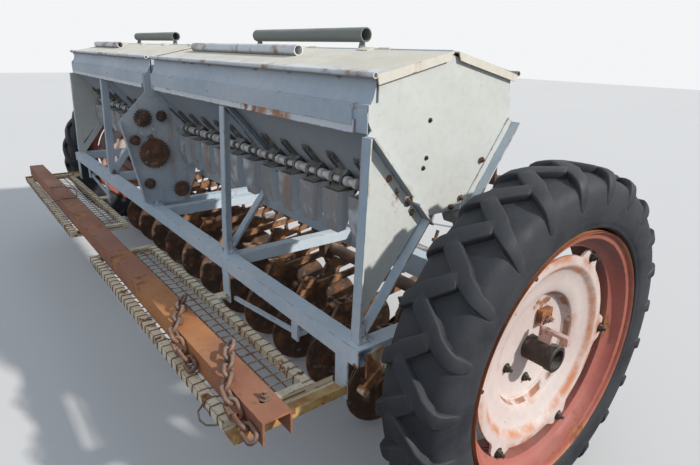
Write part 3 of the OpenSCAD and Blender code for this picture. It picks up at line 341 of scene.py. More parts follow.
def bare_iron(name, dark, bloom, pale, blooming=0.4, pale_share=0.2, roughness=0.85):
    """Iron that has rusted all over, in three colours."""
    material, tree, shader = new_material(name)
    first = use(tree, blotches, Scale=14.0, Share=blooming, Soft=0.12, Seed=2.0)
    colour = blend(tree, first, (*dark, 1), (*bloom, 1))
    second = use(tree, blotches, Scale=24.0, Share=pale_share, Soft=0.08, Seed=5.0)
    colour = blend(tree, second, colour, (*pale, 1))
    film = use(tree, settled, Scale=8.0)
    colour = blend(tree, maths(tree, "MULTIPLY", film, 0.35), colour, (*dust_colour, 1))
    tree.links.new(colour, shader.inputs["Base Color"])
    rough = add(tree, "ShaderNodeMapRange", {0: first, 3: roughness - 0.2, 4: roughness}).outputs[0]
    tree.links.new(rough, shader.inputs["Roughness"])
    grain = add(tree, "ShaderNodeTexNoise",
        {"Vector": object_place(tree), "Scale": 120.0, "Detail": 6.0, "Roughness": 0.7}).outputs[0]
    bump = add(tree, "ShaderNodeBump", {"Height": grain, "Strength": 0.5, "Distance": 0.002}).outputs[0]
    tree.links.new(bump, shader.inputs["Normal"])
    return material


rusty_finish = bare_iron("rusty_steel", (0.075, 0.045, 0.032), (0.24, 0.105, 0.05), (0.30, 0.24, 0.20))
orange_finish = bare_iron("orange_rust", (0.11, 0.06, 0.04), (0.40, 0.19, 0.08), (0.34, 0.30, 0.26),
    blooming=0.5)
dress(rusty_finish, "half_axles", "hitch", "opener_beam", "drive_wheels", "opener_discs")
dress(orange_finish, "opener_bodies", "press_rods")

# Castings and shafts of the metering gear: grain units cast of light metal, screwed to the front slope,
# and drawn shafts that turn in them and in the lift's bearings, dull grey with a bloom of rust.
pale_finish = bare_iron("pale_casting", (0.34, 0.36, 0.34), (0.28, 0.22, 0.17), (0.52, 0.54, 0.52),
    blooming=0.25, pale_share=0.4, roughness=0.7)
bright_finish = bare_iron("galvanised", (0.40, 0.40, 0.39), (0.33, 0.25, 0.19), (0.58, 0.58, 0.57),
    blooming=0.3, pale_share=0.4, roughness=0.6)
dress(pale_finish, "grain_units")
dress(bright_finish, "grain_shafts", "lift_bearings", "lift_shaft")
shaft_finish = bare_iron("feed_shaft", (0.60, 0.59, 0.57), (0.42, 0.36, 0.30), (0.70, 0.70, 0.69),
    blooming=0.3, pale_share=0.4, roughness=0.55)
dress(shaft_finish, "fertiliser_shafts")

# Hoppers: two troughs of folded sheet steel on the stands, painted pale grey-blue outside, a little
# dented, with painted sunlight on the end panels.
hopper_finish = worn_paint("hopper_paint", (0.39, 0.47, 0.56), (0.50, 0.56, 0.62), rust_orange,
    rust_brown, dust_colour, rusty=0.06, edges=0.35, dusty=0.25, streaked=0.12, dents=0.02,
    underside_shade=0.3, areas=sunlit_ends)
dress(hopper_finish, "hopper_right", "hopper_left")

# Drive plate: a cut sheet that stands between the hoppers and carries the chain wheels' pins. Oil and
# rust have run down from them over its paint.
plate_finish = worn_paint("plate_paint", (0.40, 0.47, 0.54), (0.55, 0.60, 0.63), rust_orange, rust_brown,
    dust_colour, rusty=0.18, edges=0.4, dusty=0.3, streaked=0.5)
dress(plate_finish, "drive_plate")

# Lids: four flat sheets with turned-down ends on the hinge rods along the ridges, cream-white and
# chalky. Their handles are pipes without paint: pale with rust scale behind, dark grey-green in front.
ridge_y = -1.0455
lid_fall = 0.27


def grey_pipes(tree, colour):
    """What stands above the lids' slopes, which fall away from the ridge on both sides."""
    place = add(tree, "ShaderNodeSeparateXYZ", {0: object_place(tree)}).outputs
    out = maths(tree, "ABSOLUTE", maths(tree, "SUBTRACT", place[1], ridge_y))
    height = maths(tree, "ADD", place[2], maths(tree, "MULTIPLY", out, lid_fall))
    high = ramp(tree, height, 1.548, 1.552)
    clear = maths(tree, "MULTIPLY", high, ramp(tree, out, 0.06, 0.065))
    scale = use(tree, blotches, Scale=10.0, Share=0.35, Soft=0.08, Seed=14.0)
    rear = ramp(tree, place[1], -1.04, -1.05)
    pipe = blend(tree, rear, (0.17, 0.195, 0.185, 1), (0.66, 0.70, 0.74, 1))
    pipe = blend(tree, maths(tree, "MULTIPLY", scale, rear), pipe, (0.30, 0.19, 0.12, 1))
    return blend(tree, clear, colour, pipe)


lid_finish = worn_paint("lid_paint", (0.62, 0.59, 0.50), (0.68, 0.66, 0.58), rust_orange, rust_brown,
    (0.54, 0.50, 0.42), rusty=0.05, edges=0.35, dusty=0.4, streaked=0.2, dents=0.02, roughness=0.7,
    areas=grey_pipes)
dress(lid_finish, "lid_rear_right", "lid_front_right", "lid_rear_left", "lid_front_left")

# Footboard: two frames of square tube in flaking cream paint, bolted behind the machine, with rusty
# wire mesh in them. The irons across the outer ends are older and yellow.
board_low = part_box("footboard_right")[0]
between_rails = (board_low.y + 0.0345, board_low.y + 0.2745)
mesh_z = (0.537, 0.543)
end_iron_x = 1.712


def board_irons(tree, colour):
    """The board's mesh and its end irons."""
    patch = use(tree, blotches, Scale=16.0, Share=0.5, Soft=0.1, Seed=6.0)
    mesh = maths(tree, "MULTIPLY", within(tree, 1, *between_rails, 0.0005),
        within(tree, 2, *mesh_z, 0.0005))
    rusty_wire = blend(tree, patch, (0.13, 0.085, 0.06, 1), (0.26, 0.15, 0.09, 1))
    old_yellow = blend(tree, patch, (0.52, 0.38, 0.13, 1), (0.40, 0.17, 0.06, 1))
    return blend(tree, beyond(tree, end_iron_x), blend(tree, mesh, colour, rusty_wire), old_yellow)


board_finish = worn_paint("board_paint", (0.70, 0.60, 0.42), (0.78, 0.72, 0.56), rust_orange, rust_brown,
    (0.58, 0.50, 0.36), rusty=0.3, edges=0.5, dusty=0.3, scale=2.2, areas=board_irons)
dress(board_finish, "footboard_right", "footboard_left")

# Tow bar: a rolled channel that lies upside down on the footboard, with two chains of welded links
# wound over it. Its dark red paint is worn, and between the chains it is painted bright orange, partly rust
# and partly painted sunlight.
between_chains = (0.80, 1.50)


def rusty_sunlit_stretch(tree, colour):
    """The bar's stretch between the chains: orange rust brightened with painted sunlight."""
    patch = use(tree, blotches, Scale=6.0, Share=0.8, Soft=0.2, Seed=16.0)
    rust_and_sunlight = maths(tree, "MULTIPLY", within(tree, 0, *between_chains, 0.15), patch)
    return blend(tree, rust_and_sunlight, colour, (0.46, 0.19, 0.065, 1))


bar_finish = worn_paint("tow_bar_paint", (0.20, 0.075, 0.055), (0.31, 0.125, 0.075), (0.45, 0.2, 0.08),
    rust_brown, (0.38, 0.22, 0.13), rusty=0.32, edges=0.5, dusty=0.35, areas=rusty_sunlit_stretch)
dress(bar_finish, "tow_bar")
chain_finish = bare_iron("chain_iron", (0.10, 0.05, 0.035), (0.23, 0.105, 0.06), (0.27, 0.18, 0.13),
    blooming=0.5)
dress(chain_finish, "tow_chains")

# Corner bracket: a plate with a lever on a pin, cut from sheet iron and bolted to the frame's end at
# the near corner, in rubbed yellowish paint.
yellow_finish = worn_paint("bracket_paint", (0.50, 0.42, 0.22), (0.58, 0.54, 0.42), rust_orange, rust_brown,
    dust_colour, rusty=0.4, edges=0.5)
dress(yellow_finish, "corner_bracket")

# Lift cylinder: a drawn tube in faded red, pinned between the drawbar and the lift shaft's lever, with
# a polished rod whose plating has dulled.
cylinder_finish = worn_paint("cylinder_paint", (0.30, 0.06, 0.04), (0.40, 0.14, 0.10), rust_orange,
    rust_brown, dust_colour, rusty=0.2)
dress(cylinder_finish, "cylinder_barrel")
chrome_finish, tree, shader = new_material("chrome_rod")
smear = use(tree, blotches, Scale=20.0, Share=0.3, Soft=0.2, Seed=3.0)
tree.links.new(blend(tree, smear, (0.62, 0.62, 0.62, 1), (0.36, 0.30, 0.25, 1)), shader.inputs["Base Color"])
tree.links.new(ramp(tree, smear, -0.3, 2.0), shader.inputs["Roughness"])
shader.inputs["Metallic"].default_value = 1.0
dress(chrome_finish, "cylinder_rod")

# Tyres: tractor tyres of ribbed rubber, moulded in one with their lugs. The lugs of both sides
# reach past the middle of the tread, lean back and run out on the sidewall, which is dry and dusty.
spin_joint = [joint for joint in frame["joints"] if joint["name"] == "right_wheel_spin"][0]
wheel_centre = Vector(spin_joint["pos_m"])
tyre_low, tyre_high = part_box("tyre_right")
tyre_r = (tyre_high.z - tyre_low.z) / 2
half_tyre = (tyre_high.x - tyre_low.x) / 2
lug_count = 23
lug_pitch = 2 * math.pi / lug_count
lug_depth = 0.024
first_lug = math.radians(1.2)


def revolve(bm, profile, steps):
    """A ring about the X axis from an outline of distances along X and radii."""
    corners = [bm.verts.new((x, 0, r)) for x, r in profile]
    edges = [bm.edges.new(pair) for pair in zip(corners, corners[1:] + corners[:1])]
    bmesh.ops.spin(bm, geom=corners + edges, cent=(0, 0, 0), axis=(1, 0, 0), angle=2 * math.pi,
        steps=steps, use_merge=True)
    bmesh.ops.remove_doubles(bm, verts=bm.verts, dist=1e-6)
    bmesh.ops.recalc_face_normals(bm, faces=bm.faces)


def piece(name, bm, material, body, sharp=35):
    """An object from a finished bmesh, with its material and the body that it rides on."""
    mesh = bpy.data.meshes.new(name)
    bm.to_mesh(mesh)
    bm.free()
    mesh.materials.append(material)
    for face in mesh.polygons:
        face.use_smooth = True
    mesh.set_sharp_from_angle(angle=math.radians(sharp))
    made = bpy.data.objects.new(name, mesh)
    bpy.context.scene.collection.objects.link(made)
    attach(made, body)
    return made


rubber_finish, tree, shader = new_material("rubber")
dry = use(tree, blotches, Scale=9.0, Share=0.5, Soft=0.2, Seed=3.0)
colour = blend(tree, dry, (0.010, 0.013, 0.020, 1), (0.031, 0.035, 0.043, 1))
film = use(tree, settled, Scale=12.0)
colour = blend(tree, maths(tree, "MULTIPLY", film, 0.14), colour, (0.13, 0.13, 0.125, 1))
scuff = use(tree, edge_wear, Width=0.009, Break=0.35)
colour = blend(tree, maths(tree, "MULTIPLY", scuff, 0.3), colour, (0.15, 0.14, 0.12, 1))
tree.links.new(colour, shader.inputs["Base Color"])
rough = add(tree, "ShaderNodeMapRange", {0: dry, 3: 0.6, 4: 0.9}).outputs[0]
tree.links.new(rough, shader.inputs["Roughness"])
crack = add(tree, "ShaderNodeTexNoise",
    {"Vector": object_place(tree), "Scale": 60.0, "Detail": 8.0, "Roughness": 0.7}).outputs[0]
bump = add(tree, "ShaderNodeBump", {"Height": crack, "Strength": 0.45, "Distance": 0.003}).outputs[0]
tree.links.new(bump, shader.inputs["Normal"])

# Half of the tyre's section: share of half the width, then depth below the tread
crown = [(0.42, lug_depth + 0.001), (0.7, lug_depth + 0.008), (0.82, lug_depth + 0.015),
    (0.9, lug_depth + 0.027), (0.94, 0.066), (0.97, 0.085), (0.992, 0.104), (0.995, 0.124),
    (0.985, 0.146), (0.965, 0.158), (0.955, 0.160), (0.94, 0.168), (0.935, 0.171), (0.895, 0.176)]
# Line of a lug, from past the tread's middle to the sidewall: place along X, place along the tread,
# half the lug's width and depth of its top below the tread. The first four places are cut askew.
lug_line = [(-0.042, 0.052, 0.022, 0.0005), (-0.02, 0.036, 0.025, 0.0), (0.0, 0.020, 0.026, 0.0),
    (0.042, -0.012, 0.027, 0.001), (0.070, -0.033, 0.026, 0.004), (0.090, -0.046, 0.025, 0.010),
    (0.104, -0.053, 0.023, 0.020), (0.112, -0.056, 0.021, 0.034), (0.118, -0.058, 0.020, 0.052),
    (0.120, -0.059, 0.018, 0.072), (0.1203, -0.060, 0.015, 0.092), (0.1195, -0.060, 0.010, 0.108)]
askew = 4


def lug(bm, angle, side):
    """One lug: a strip laid along its line, thickened down into the carcass and rounded at its brim."""
    strip = bmesh.new()
    bmesh.ops.create_grid(strip, x_segments=len(lug_line) - 1, y_segments=2, size=1)
    for vert in strip.verts:
        at = round((vert.co.x + 1) / 2 * (len(lug_line) - 1))
        x, along, half, drop = lug_line[at]
        across = along + vert.co.y * half
        radius = tyre_r - drop
        skewed = x + vert.co.y * 0.35 * half * (at < askew)
        vert.co = Vector((skewed, across, math.sqrt(radius ** 2 - across ** 2)))
    skirt = bmesh.ops.extrude_face_region(strip, geom=list(strip.faces))
    sunk = [item for item in skirt["geom"] if isinstance(item, bmesh.types.BMVert)]
    for vert in sunk:
        sideways = vert.co.x / half_tyre * 0.9 if vert.co.x > 0.1 else 0
        inward = Vector((sideways, 0, 0.35 + 0.65 * (vert.co.x < 0.108)))
        vert.co -= inward.normalized() * (lug_depth + 0.003)
    bmesh.ops.recalc_face_normals(strip, faces=strip.faces)
    brim = [edge for edge in strip.edges if edge.calc_face_angle(0) > 0.9]
    bmesh.ops.bevel(strip, geom=brim, offset=0.005, segments=2, affect="EDGES", profile=0.5, material=-1)
    turn = Matrix.Rotation(angle, 4, "X") @ Matrix.Diagonal((side, 1, 1, 1))
    bmesh.ops.transform(strip, matrix=turn, verts=strip.verts)
    if side < 0:
        bmesh.ops.reverse_faces(strip, faces=strip.faces)
    data = bpy.data.meshes.new("lug")
    strip.to_mesh(data)
    strip.free()
    bm.from_mesh(data)
    bpy.data.meshes.remove(data)


def to_wheel(bm, side):
    """Carries a shape made about the X axis to the right or, turned over, to the left wheel."""
    bmesh.ops.transform(bm, matrix=Matrix.Translation((side * wheel_centre.x, wheel_centre.y, wheel_centre.z))
        @ Matrix.Diagonal((side, 1, 1, 1)), verts=bm.verts)
    if side < 0:
        bmesh.ops.reverse_faces(bm, faces=bm.faces)


shoulder = [(share * half_tyre, tyre_r - depth) for share, depth in crown]
for side, end in ((1, "right"), (-1, "left")):
    body = bmesh.new()
    section = [(-x, r) for x, r in reversed(shoulder)] + [(0, tyre_r - lug_depth)] + shoulder
    revolve(body, section, 6 * lug_count)
    for number in range(lug_count):
        lug(body, first_lug + number * lug_pitch, 1)
        lug(body, first_lug + (number + 0.5) * lug_pitch, -1)
    to_wheel(body, side)
    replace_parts(piece("tyre_" + end + "_rubber", body, rubber_finish, end + "_wheel", 50),
        "tyre_" + end)

# Wheels: a pressed disc with six lobes, bolted into a rolled steel rim. Faded pink-white paint
# on the disc and red on the rim, with orange rust on the raised rings and round the bolts.
rim_low, rim_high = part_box("wheel_right")
lip_r = (rim_high.z - rim_low.z) / 2
half_rim = 0.110
disc_x = half_rim - 0.066
well_r = lip_r - 0.062
hub_r = 0.042
lobe_angle = math.radians(27)


def rod(bm, start, end, radius, sides=16, end_radius=None):
    """A round bar, or a cone, between two points."""
    start, end = Vector(start), Vector(end)
    place = Matrix.Translation((start + end) / 2) @ (end - start).to_track_quat("Z", "X").to_matrix().to_4x4()
    bmesh.ops.create_cone(bm, cap_ends=True, segments=sides, radius1=radius,
        radius2=radius if end_radius is None else end_radius, depth=(end - start).length, matrix=place)


def bolt(bm, place, direction, across=0.019, shank=0.006):
    """A hexagon nut on its washer, with the bolt's end standing out of it."""
    place, direction = Vector(place), Vector(direction).normalized()
    rod(bm, place - direction * 0.001, place + direction * 0.002, across * 0.8, 16)
    rod(bm, place + direction * 0.001, place + direction * across * 0.55, across * 0.577, 6, across * 0.54)
    rod(bm, place, place + direction * (across * 0.5 + shank), across * 0.28, 10)


def ringed(material, rings):
    """Lays rusted rings over a wheel's paint; each has its radius, half width and share."""
    tree = material.node_tree
    shader = tree.nodes["Principled BSDF"]
    below = shader.inputs["Base Color"].links[0].from_socket
    centred = add(tree, "ShaderNodeVectorMath",
        {0: object_place(tree), 1: (0, wheel_centre.y, wheel_centre.z)}, operation="SUBTRACT").outputs[0]
    flat = add(tree, "ShaderNodeVectorMath", {0: centred, 1: (0, 1, 1)}, operation="MULTIPLY").outputs[0]
    radius = add(tree, "ShaderNodeVectorMath", {0: flat}, operation="LENGTH").outputs["Value"]
    for ring, half, share in rings:
        off = maths(tree, "ABSOLUTE", maths(tree, "SUBTRACT", radius, ring))
        near = maths(tree, "SUBTRACT", 1.0, ramp(tree, off, 0.0, half), clamp=True)
        patch = use(tree, blotches, Scale=9.0, Share=share, Soft=0.12, Seed=ring * 40)
        below = blend(tree, maths(tree, "MULTIPLY", near, patch), below, (0.50, 0.19, 0.08, 1))
    tree.links.new(below, shader.inputs["Base Color"])


disc_finish = worn_paint("disc_paint", (0.56, 0.44, 0.41), (0.66, 0.58, 0.55), rust_orange,
    (0.22, 0.10, 0.07), (0.60, 0.50, 0.46), rusty=0.1, edges=0.5, dusty=0.2, streaked=0.15)
ringed(disc_finish, ((0.292, 0.022, 0.62), (0.205, 0.03, 0.25), (0.33, 0.03, 0.4)))
rim_finish = worn_paint("rim_paint", (0.30, 0.065, 0.05), (0.42, 0.14, 0.11), rust_orange,
    (0.16, 0.05, 0.035), (0.42, 0.28, 0.24), rusty=0.25, edges=0.5, dusty=0.3, streaked=0.1)
ringed(rim_finish, ((0.43, 0.01, 0.6),))
hub_finish = bare_iron("hub_iron", (0.024, 0.018, 0.014), (0.085, 0.05, 0.032), (0.17, 0.14, 0.11),
    blooming=0.3)
pink_finish = worn_paint("clamp_paint", (0.50, 0.26, 0.23), (0.60, 0.44, 0.40), rust_orange, rust_brown,
    dust_colour, rusty=0.35)

# Outlines of the rim's face and back, which are mirrored and joined from lip to lip under the tyre, of
# the disc's face and of the hub, as places along X and radii
rim_front = [(half_rim + 0.003, lip_r - 0.003), (half_rim - 0.001, lip_r - 0.0075),
    (half_rim - 0.009, lip_r - 0.009), (half_rim - 0.014, lip_r - 0.026), (half_rim - 0.040, lip_r - 0.034),
    (half_rim - 0.050, lip_r - 0.048), (half_rim - 0.058, well_r - 0.001), (half_rim - 0.075, well_r),
    (0.012, well_r), (0.008, well_r - 0.005), (0.0, well_r - 0.006)]
rim_back = [(0.0, well_r + 0.003), (half_rim - 0.064, well_r + 0.006), (half_rim - 0.045, lip_r - 0.029),
    (half_rim - 0.014, lip_r - 0.024), (half_rim - 0.008, lip_r - 0.002), (half_rim - 0.003, lip_r),
    (half_rim + 0.001, lip_r)]
rim_line = rim_front + rim_back
disc_face = [(disc_x, well_r - 0.035), (disc_x + 0.003, 0.306), (disc_x + 0.001, 0.299),
    (disc_x - 0.010, 0.288), (disc_x - 0.015, 0.280), (disc_x - 0.022, 0.240), (disc_x - 0.026, 0.213),
    (disc_x - 0.031, 0.204), (disc_x - 0.052, 0.192), (disc_x - 0.059, 0.186), (disc_x - 0.062, 0.176),
    (disc_x - 0.062, hub_r)]
hub_tube = [(-half_rim + 0.010, hub_r), (0.06, hub_r), (0.062, hub_r + 0.003), (0.085, hub_r + 0.004),
    (0.088, hub_r), (0.088, hub_r - 0.010), (0.040, hub_r - 0.012), (-half_rim + 0.012, hub_r - 0.012)]
hub_flange = [(disc_x - 0.090, 0.132), (disc_x - 0.072, 0.132), (disc_x - 0.072, hub_r - 0.002),
    (disc_x - 0.090, hub_r - 0.002)]
# Low and high corners of the clamp's foot, upright, bar and hook
clamp_plates = [((disc_x - 0.062, 0.018, 0.074), (disc_x - 0.040, 0.080, 0.128)),
    ((disc_x - 0.030, -0.008, hub_r - 0.004), (disc_x + 0.014, 0.004, hub_r + 0.048)),
    ((disc_x - 0.020, -0.014, hub_r + 0.038), (disc_x + 0.072, 0.008, hub_r + 0.050)),
    ((disc_x + 0.062, -0.014, hub_r + 0.022), (disc_x + 0.072, 0.008, hub_r + 0.040))]
lobe_reach = 0.034
for side, end in ((1, "right"), (-1, "left")):
    rim = bmesh.new()
    revolve(rim, rim_line + [(-x, r) for x, r in reversed(rim_line[1:]) if x > 0.0], 96)
    to_wheel(rim, side)
    disc = bmesh.new()
    disc_back = [(x - 0.008, r - (0.004 if 0.18 < r < 0.3 else 0)) for x, r in reversed(disc_face)]
    revolve(disc, disc_face + disc_back, 144)
    for vert in disc.verts:
        radius = math.hypot(vert.co.y, vert.co.z)
        if radius > well_r - 0.036:
            turn = math.atan2(-vert.co.y, vert.co.z) - lobe_angle
            from_lobe = abs((turn + math.pi / 6) % (math.pi / 3) - math.pi / 6)
            reach = 1 - max(0.0, min(1.0, (from_lobe - 0.10) / 0.08))
            vert.co.y *= 1 + reach * lobe_reach / radius
            vert.co.z *= 1 + reach * lobe_reach / radius
    to_wheel(disc, side)
    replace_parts(piece("wheel_" + end + "_rim", rim, rim_finish, end + "_wheel", 40),
        "wheel_" + end)
    piece("wheel_" + end + "_disc", disc, disc_finish, end + "_wheel", 30)
    hub = bmesh.new()
    revolve(hub, hub_tube, 40)
    revolve(hub, hub_flange, 48)
    # Five places for bolts on the hub's flange, of which the first stays empty
    for number in range(1, 5):
        turn = math.radians(-38 + number * 72)
        bolt(hub, (disc_x - 0.062, 0.122 * math.sin(turn), 0.122 * math.cos(turn)), (1, 0, 0), 0.022, 0.012)
    for number in range(6):
        turn = lobe_angle + number * math.pi / 3
        bolt(hub, (disc_x, -0.352 * math.sin(turn), 0.352 * math.cos(turn)), (1, 0, 0), 0.024, 0.012)
    to_wheel(hub, side)
    piece("wheel_" + end + "_hub", hub, hub_finish, end + "_wheel")
    clamp = bmesh.new()
    for low, high in clamp_plates:
        bmesh.ops.create_cube(clamp, size=1, matrix=Matrix.Translation((Vector(low) + Vector(high)) / 2)
            @ Matrix.Diagonal((*(Vector(high) - Vector(low)), 1)))
    bmesh.ops.bevel(clamp, geom=clamp.edges, offset=0.002, segments=2, affect="EDGES", profile=0.5,
        material=-1)
    bolt(clamp, (disc_x - 0.040, 0.045, 0.10), (1, 0, 0), 0.026, 0.012)
    to_wheel(clamp, side)
    piece("wheel_" + end + "_clamp", clamp, pink_finish, end + "_wheel")

# Metering units under the rear slopes: a cast housing against the slope, two bearing collars that
# the pale feed shaft lies open in, and a wide sheet spout below, pale on its cheeks and darkened with painted
# shade on its other walls.
unit_finish = bare_iron("unit_iron", (0.12, 0.125, 0.125), (0.17, 0.12, 0.085), (0.30, 0.31, 0.30),
    blooming=0.35, pale_share=0.35, roughness=0.8)


def shaded_fronts(tree, colour):
    """Painted shade: walls that do not face sideways are darkened in patches; the cheeks keep their pale
    paint.
    """
    cheeks = ramp(tree, maths(tree, "ABSOLUTE", facing(tree, 0)), 0.6, 0.9)
    patch = use(tree, blotches, Scale=11.0, Share=0.35, Soft=0.1, Seed=8.0)
    painted_shade = blend(tree, patch, (0.29, 0.29, 0.29, 1), (0.58, 0.62, 0.66, 1))
    return blend(tree, cheeks, painted_shade, colour)


spout_finish = worn_paint("spout_paint", (0.50, 0.58, 0.66), (0.62, 0.67, 0.71), rust_orange, rust_brown,
    dust_colour, rusty=0.13, edges=0.4, dusty=0.2, streaked=0.45, areas=shaded_fronts)


def prism(bm, x0, x1, outline):
    """A straight piece along X from an outline of Y and Z."""
    first = [bm.verts.new((x0, y, z)) for y, z in outline]
    last = [bm.verts.new((x1, y, z)) for y, z in outline]
    made = [bm.faces.new(first), bm.faces.new(last[::-1])]
    for i in range(len(outline)):
        j = (i + 1) % len(outline)
        made.append(bm.faces.new((first[i], last[i], last[j], first[j])))
    bmesh.ops.recalc_face_normals(bm, faces=made)


# The rear slope's direction, the lower edge of the hopper's floor and the way out of the slope, in Y, Z
slope = Vector((0.666, -0.746))
floor_edge = Vector((-1.094, 1.045))
outward = Vector((-0.746, -0.666))
shaft_low, shaft_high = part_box("fertiliser_shafts")
shaft = Vector((0, (shaft_low.y + shaft_high.y) / 2, (shaft_low.z + shaft_high.z) / 2))
shaft_at = shaft.yz
top = floor_edge - slope * 0.137 + outward * 0.0005
# Sections in Y and Z: the housing from the slope to its nose below the shaft, a collar's foot, a spout
nose = ((0.058, -0.042), (0.030, -0.070), (-0.020, -0.070), (-0.026, -0.034), (0.014, -0.022),
    (0.018, 0.020))
housing = [top, top + slope * 0.115, *(shaft_at + Vector(corner) for corner in nose),
    top + outward * 0.030]
collar_foot = [shaft_at + Vector(corner)
    for corner in ((0, -0.022), (0.032, -0.022), (0.031, 0.014), (0, 0.022))]
spout_line = [(-0.040, -0.034), (0.034, -0.034), (0.026, -0.110), (0.006, -0.178), (-0.028, -0.184),
    (-0.042, -0.120)]
spout_half = 0.046
spout_foot_half = 0.032
stand_face = 1.76
row_count = 24
row_gap = 0.15


def on_slope(corners):
    """Corners given as distances out of the slope and up it from the housing's top."""
    return [top + outward * out - slope * up for out, up in corners]


units = bmesh.new()
spouts = bmesh.new()
for number in range(row_count):
    x = (number - (row_count - 1) / 2) * row_gap
    prism(units, x - 0.035, x + 0.035, housing)
    for end in (-1, 1):
        middle = x + end * 0.0285
        rod(units, (middle - 0.0065, shaft.y, shaft.z), (middle + 0.0065, shaft.y, shaft.z), 0.0205, 20)
        prism(units, middle - 0.0065, middle + 0.0065, collar_foot)
    for place, deep in ((-0.018, 0.0), (-0.003, 0.004), (0.012, 0.0)):
        prism(units, x + place, x + place + 0.006,
            on_slope(((0.001, 0.004), (0.013 - deep, 0.010), (0.013 - deep, 0.074), (0.001, 0.080))))
    prism(units, x - 0.020, x + 0.020,
        on_slope(((0.001, -0.008), (0.006, -0.008), (0.006, 0.084), (0.001, 0.084))))
    bolt(units, (x, *(top + outward * 0.006 - slope * 0.078)), (0, *outward), 0.011, 0.004)
    # The outermost spouts are cut short where the end stands begin
    half = min(spout_half, stand_face - abs(x))
    walls = {}
    for end in (-1, 1):
        wide = half if end * x > 0 else spout_half
        for y, z in spout_line:
            taper = wide - max(0.0, (-z - 0.060) / 0.140) * (wide - spout_foot_half)
            walls[end, y, z] = spouts.verts.new((x + end * taper, shaft.y + y, shaft.z + z))
    for end, line in ((-1, spout_line), (1, spout_line[::-1])):
        spouts.faces.new([walls[end, y, z] for y, z in line])
    for i in (1, 2, 4, 5):
        a, b = spout_line[i], spout_line[(i + 1) % 6]
        spouts.faces.new((walls[-1, *a], walls[1, *a], walls[1, *b], walls[-1, *b]))
bmesh.ops.recalc_face_normals(spouts, faces=spouts.faces)
bmesh.ops.solidify(spouts, geom=spouts.faces, thickness=0.0025)
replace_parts(piece("metering_housings", units, unit_finish, "root"), "fertiliser_units")
piece("metering_spouts", spouts, spout_finish, "root", 25)

# Rear band of the hoppers: a folded sheet that flares out from under the lid to a soft fold, with a
# light strip riveted along its lower edge, which has rusted through at one place.
rusted_through = (1.16, 1.38)


def rusted_stretch(tree, colour):
    """The place where the strip has rusted through."""
    patch = use(tree, blotches, Scale=18.0, Share=0.65, Soft=0.1, Seed=15.0)
    rusted = maths(tree, "MULTIPLY", within(tree, 0, *rusted_through, 0.03), patch)
    return blend(tree, rusted, colour, (0.36, 0.16, 0.07, 1))


strip_finish = worn_paint("strip_paint", (0.55, 0.60, 0.66), (0.66, 0.68, 0.69), rust_orange, rust_brown,
    dust_colour, rusty=0.22, edges=0.5, dusty=0.2, streaked=0.3, areas=rusted_stretch)
hopper_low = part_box("hopper_right")[0]
rim_z = 1.465
eave_y = hopper_low.y + 0.0335
bulge_y = hopper_low.y + 0.009
# Sections of the band, of its lower edge past the strip's ends and of the strip, in Y and Z
band_line = [(eave_y + 0.001, rim_z - 0.002), (eave_y - 0.001, rim_z - 0.030),
    (eave_y - 0.007, rim_z - 0.052), (eave_y - 0.017, rim_z - 0.070), (bulge_y - 0.001, rim_z - 0.084),
    (bulge_y - 0.002, rim_z - 0.092), (bulge_y - 0.0015, rim_z - 0.112), (bulge_y, rim_z - 0.112),
    (bulge_y, rim_z - 0.071), (eave_y + 0.0015, rim_z - 0.066), (eave_y + 0.0015, rim_z - 0.002)]
edge_line = [(bulge_y - 0.0015, rim_z - 0.112), (bulge_y - 0.001, rim_z - 0.146),
    (bulge_y + 0.001, rim_z - 0.146), (bulge_y, rim_z - 0.112)]
strip_line = [(bulge_y - 0.0035, rim_z - 0.112), (bulge_y - 0.0055, rim_z - 0.112),
    (bulge_y - 0.0085, rim_z - 0.142), (bulge_y - 0.0115, rim_z - 0.148), (bulge_y - 0.0055, rim_z - 0.150),
    (bulge_y - 0.003, rim_z - 0.140)]
band_start, band_stop = 0.0355, 1.7595
rivet_gap = 0.0402
for side, end in ((1, "right"), (-1, "left")):
    band = bmesh.new()
    prism(band, side * band_start, side * band_stop, band_line)
    for start, stop in ((band_start, 0.0995), (1.7095, band_stop)):
        prism(band, side * start, side * stop, edge_line)
    bolt(band, (side * 0.75, bulge_y - 0.001, rim_z - 0.105), (0, -1, 0), 0.012, 0.004)
    piece("rear_band_" + end, band, hopper_finish, "root", 40)
    strip = bmesh.new()
    prism(strip, side * 0.10, side * 1.709, strip_line)
    for number in range(40):
        bmesh.ops.create_icosphere(strip, subdivisions=1, radius=0.003, matrix=Matrix.Translation(
            (side * (0.12 + number * rivet_gap), bulge_y - 0.0062, rim_z - 0.119)))
    piece("rear_strip_" + end, strip, strip_finish, "root", 40)

# Bolts: hexagon bolts and nuts of rolled steel, all gone rusty. Three hold each end panel, five the
# stand below it, and others the frame's irons and the tow bar; a cap and a nut close each end of the
# feed shaft.
bolt_finish = bare_iron("bolt_iron", (0.07, 0.042, 0.03), (0.24, 0.11, 0.05), (0.30, 0.25, 0.20),
    blooming=0.4)
panel_x = 1.7605
gusset_x = 1.7655
bolts = bmesh.new()
panel_bolts = bmesh.new()
for side in (1, -1):
    for y, z in ((-1.123, 1.343), (-1.128, 1.232), (-1.138, 1.202)):
        bolt(panel_bolts, (side * panel_x, y, z), (side, 0, 0), 0.009, 0.003)
    end_x = side * shaft_high.x
    rod(bolts, (end_x - side * 0.001, shaft.y, shaft.z), (end_x + side * 0.003, shaft.y, shaft.z), 0.0115, 20)
    bolt(bolts, (end_x + side * 0.003, shaft.y, shaft.z), (side, 0, 0), 0.014, 0.004)
    for y, z in ((-1.281, 1.189), (-1.179, 1.072), (-0.868, 1.200), (-0.955, 1.084), (-1.001, 1.060)):
        bolt(bolts, (side * gusset_x, y, z), (side, 0, 0), 0.013, 0.005)
    for x in (0.86, 1.78):
        bolt(bolts, (side * x, -1.374, 0.708), (0, 0, 1), 0.022, 0.012)
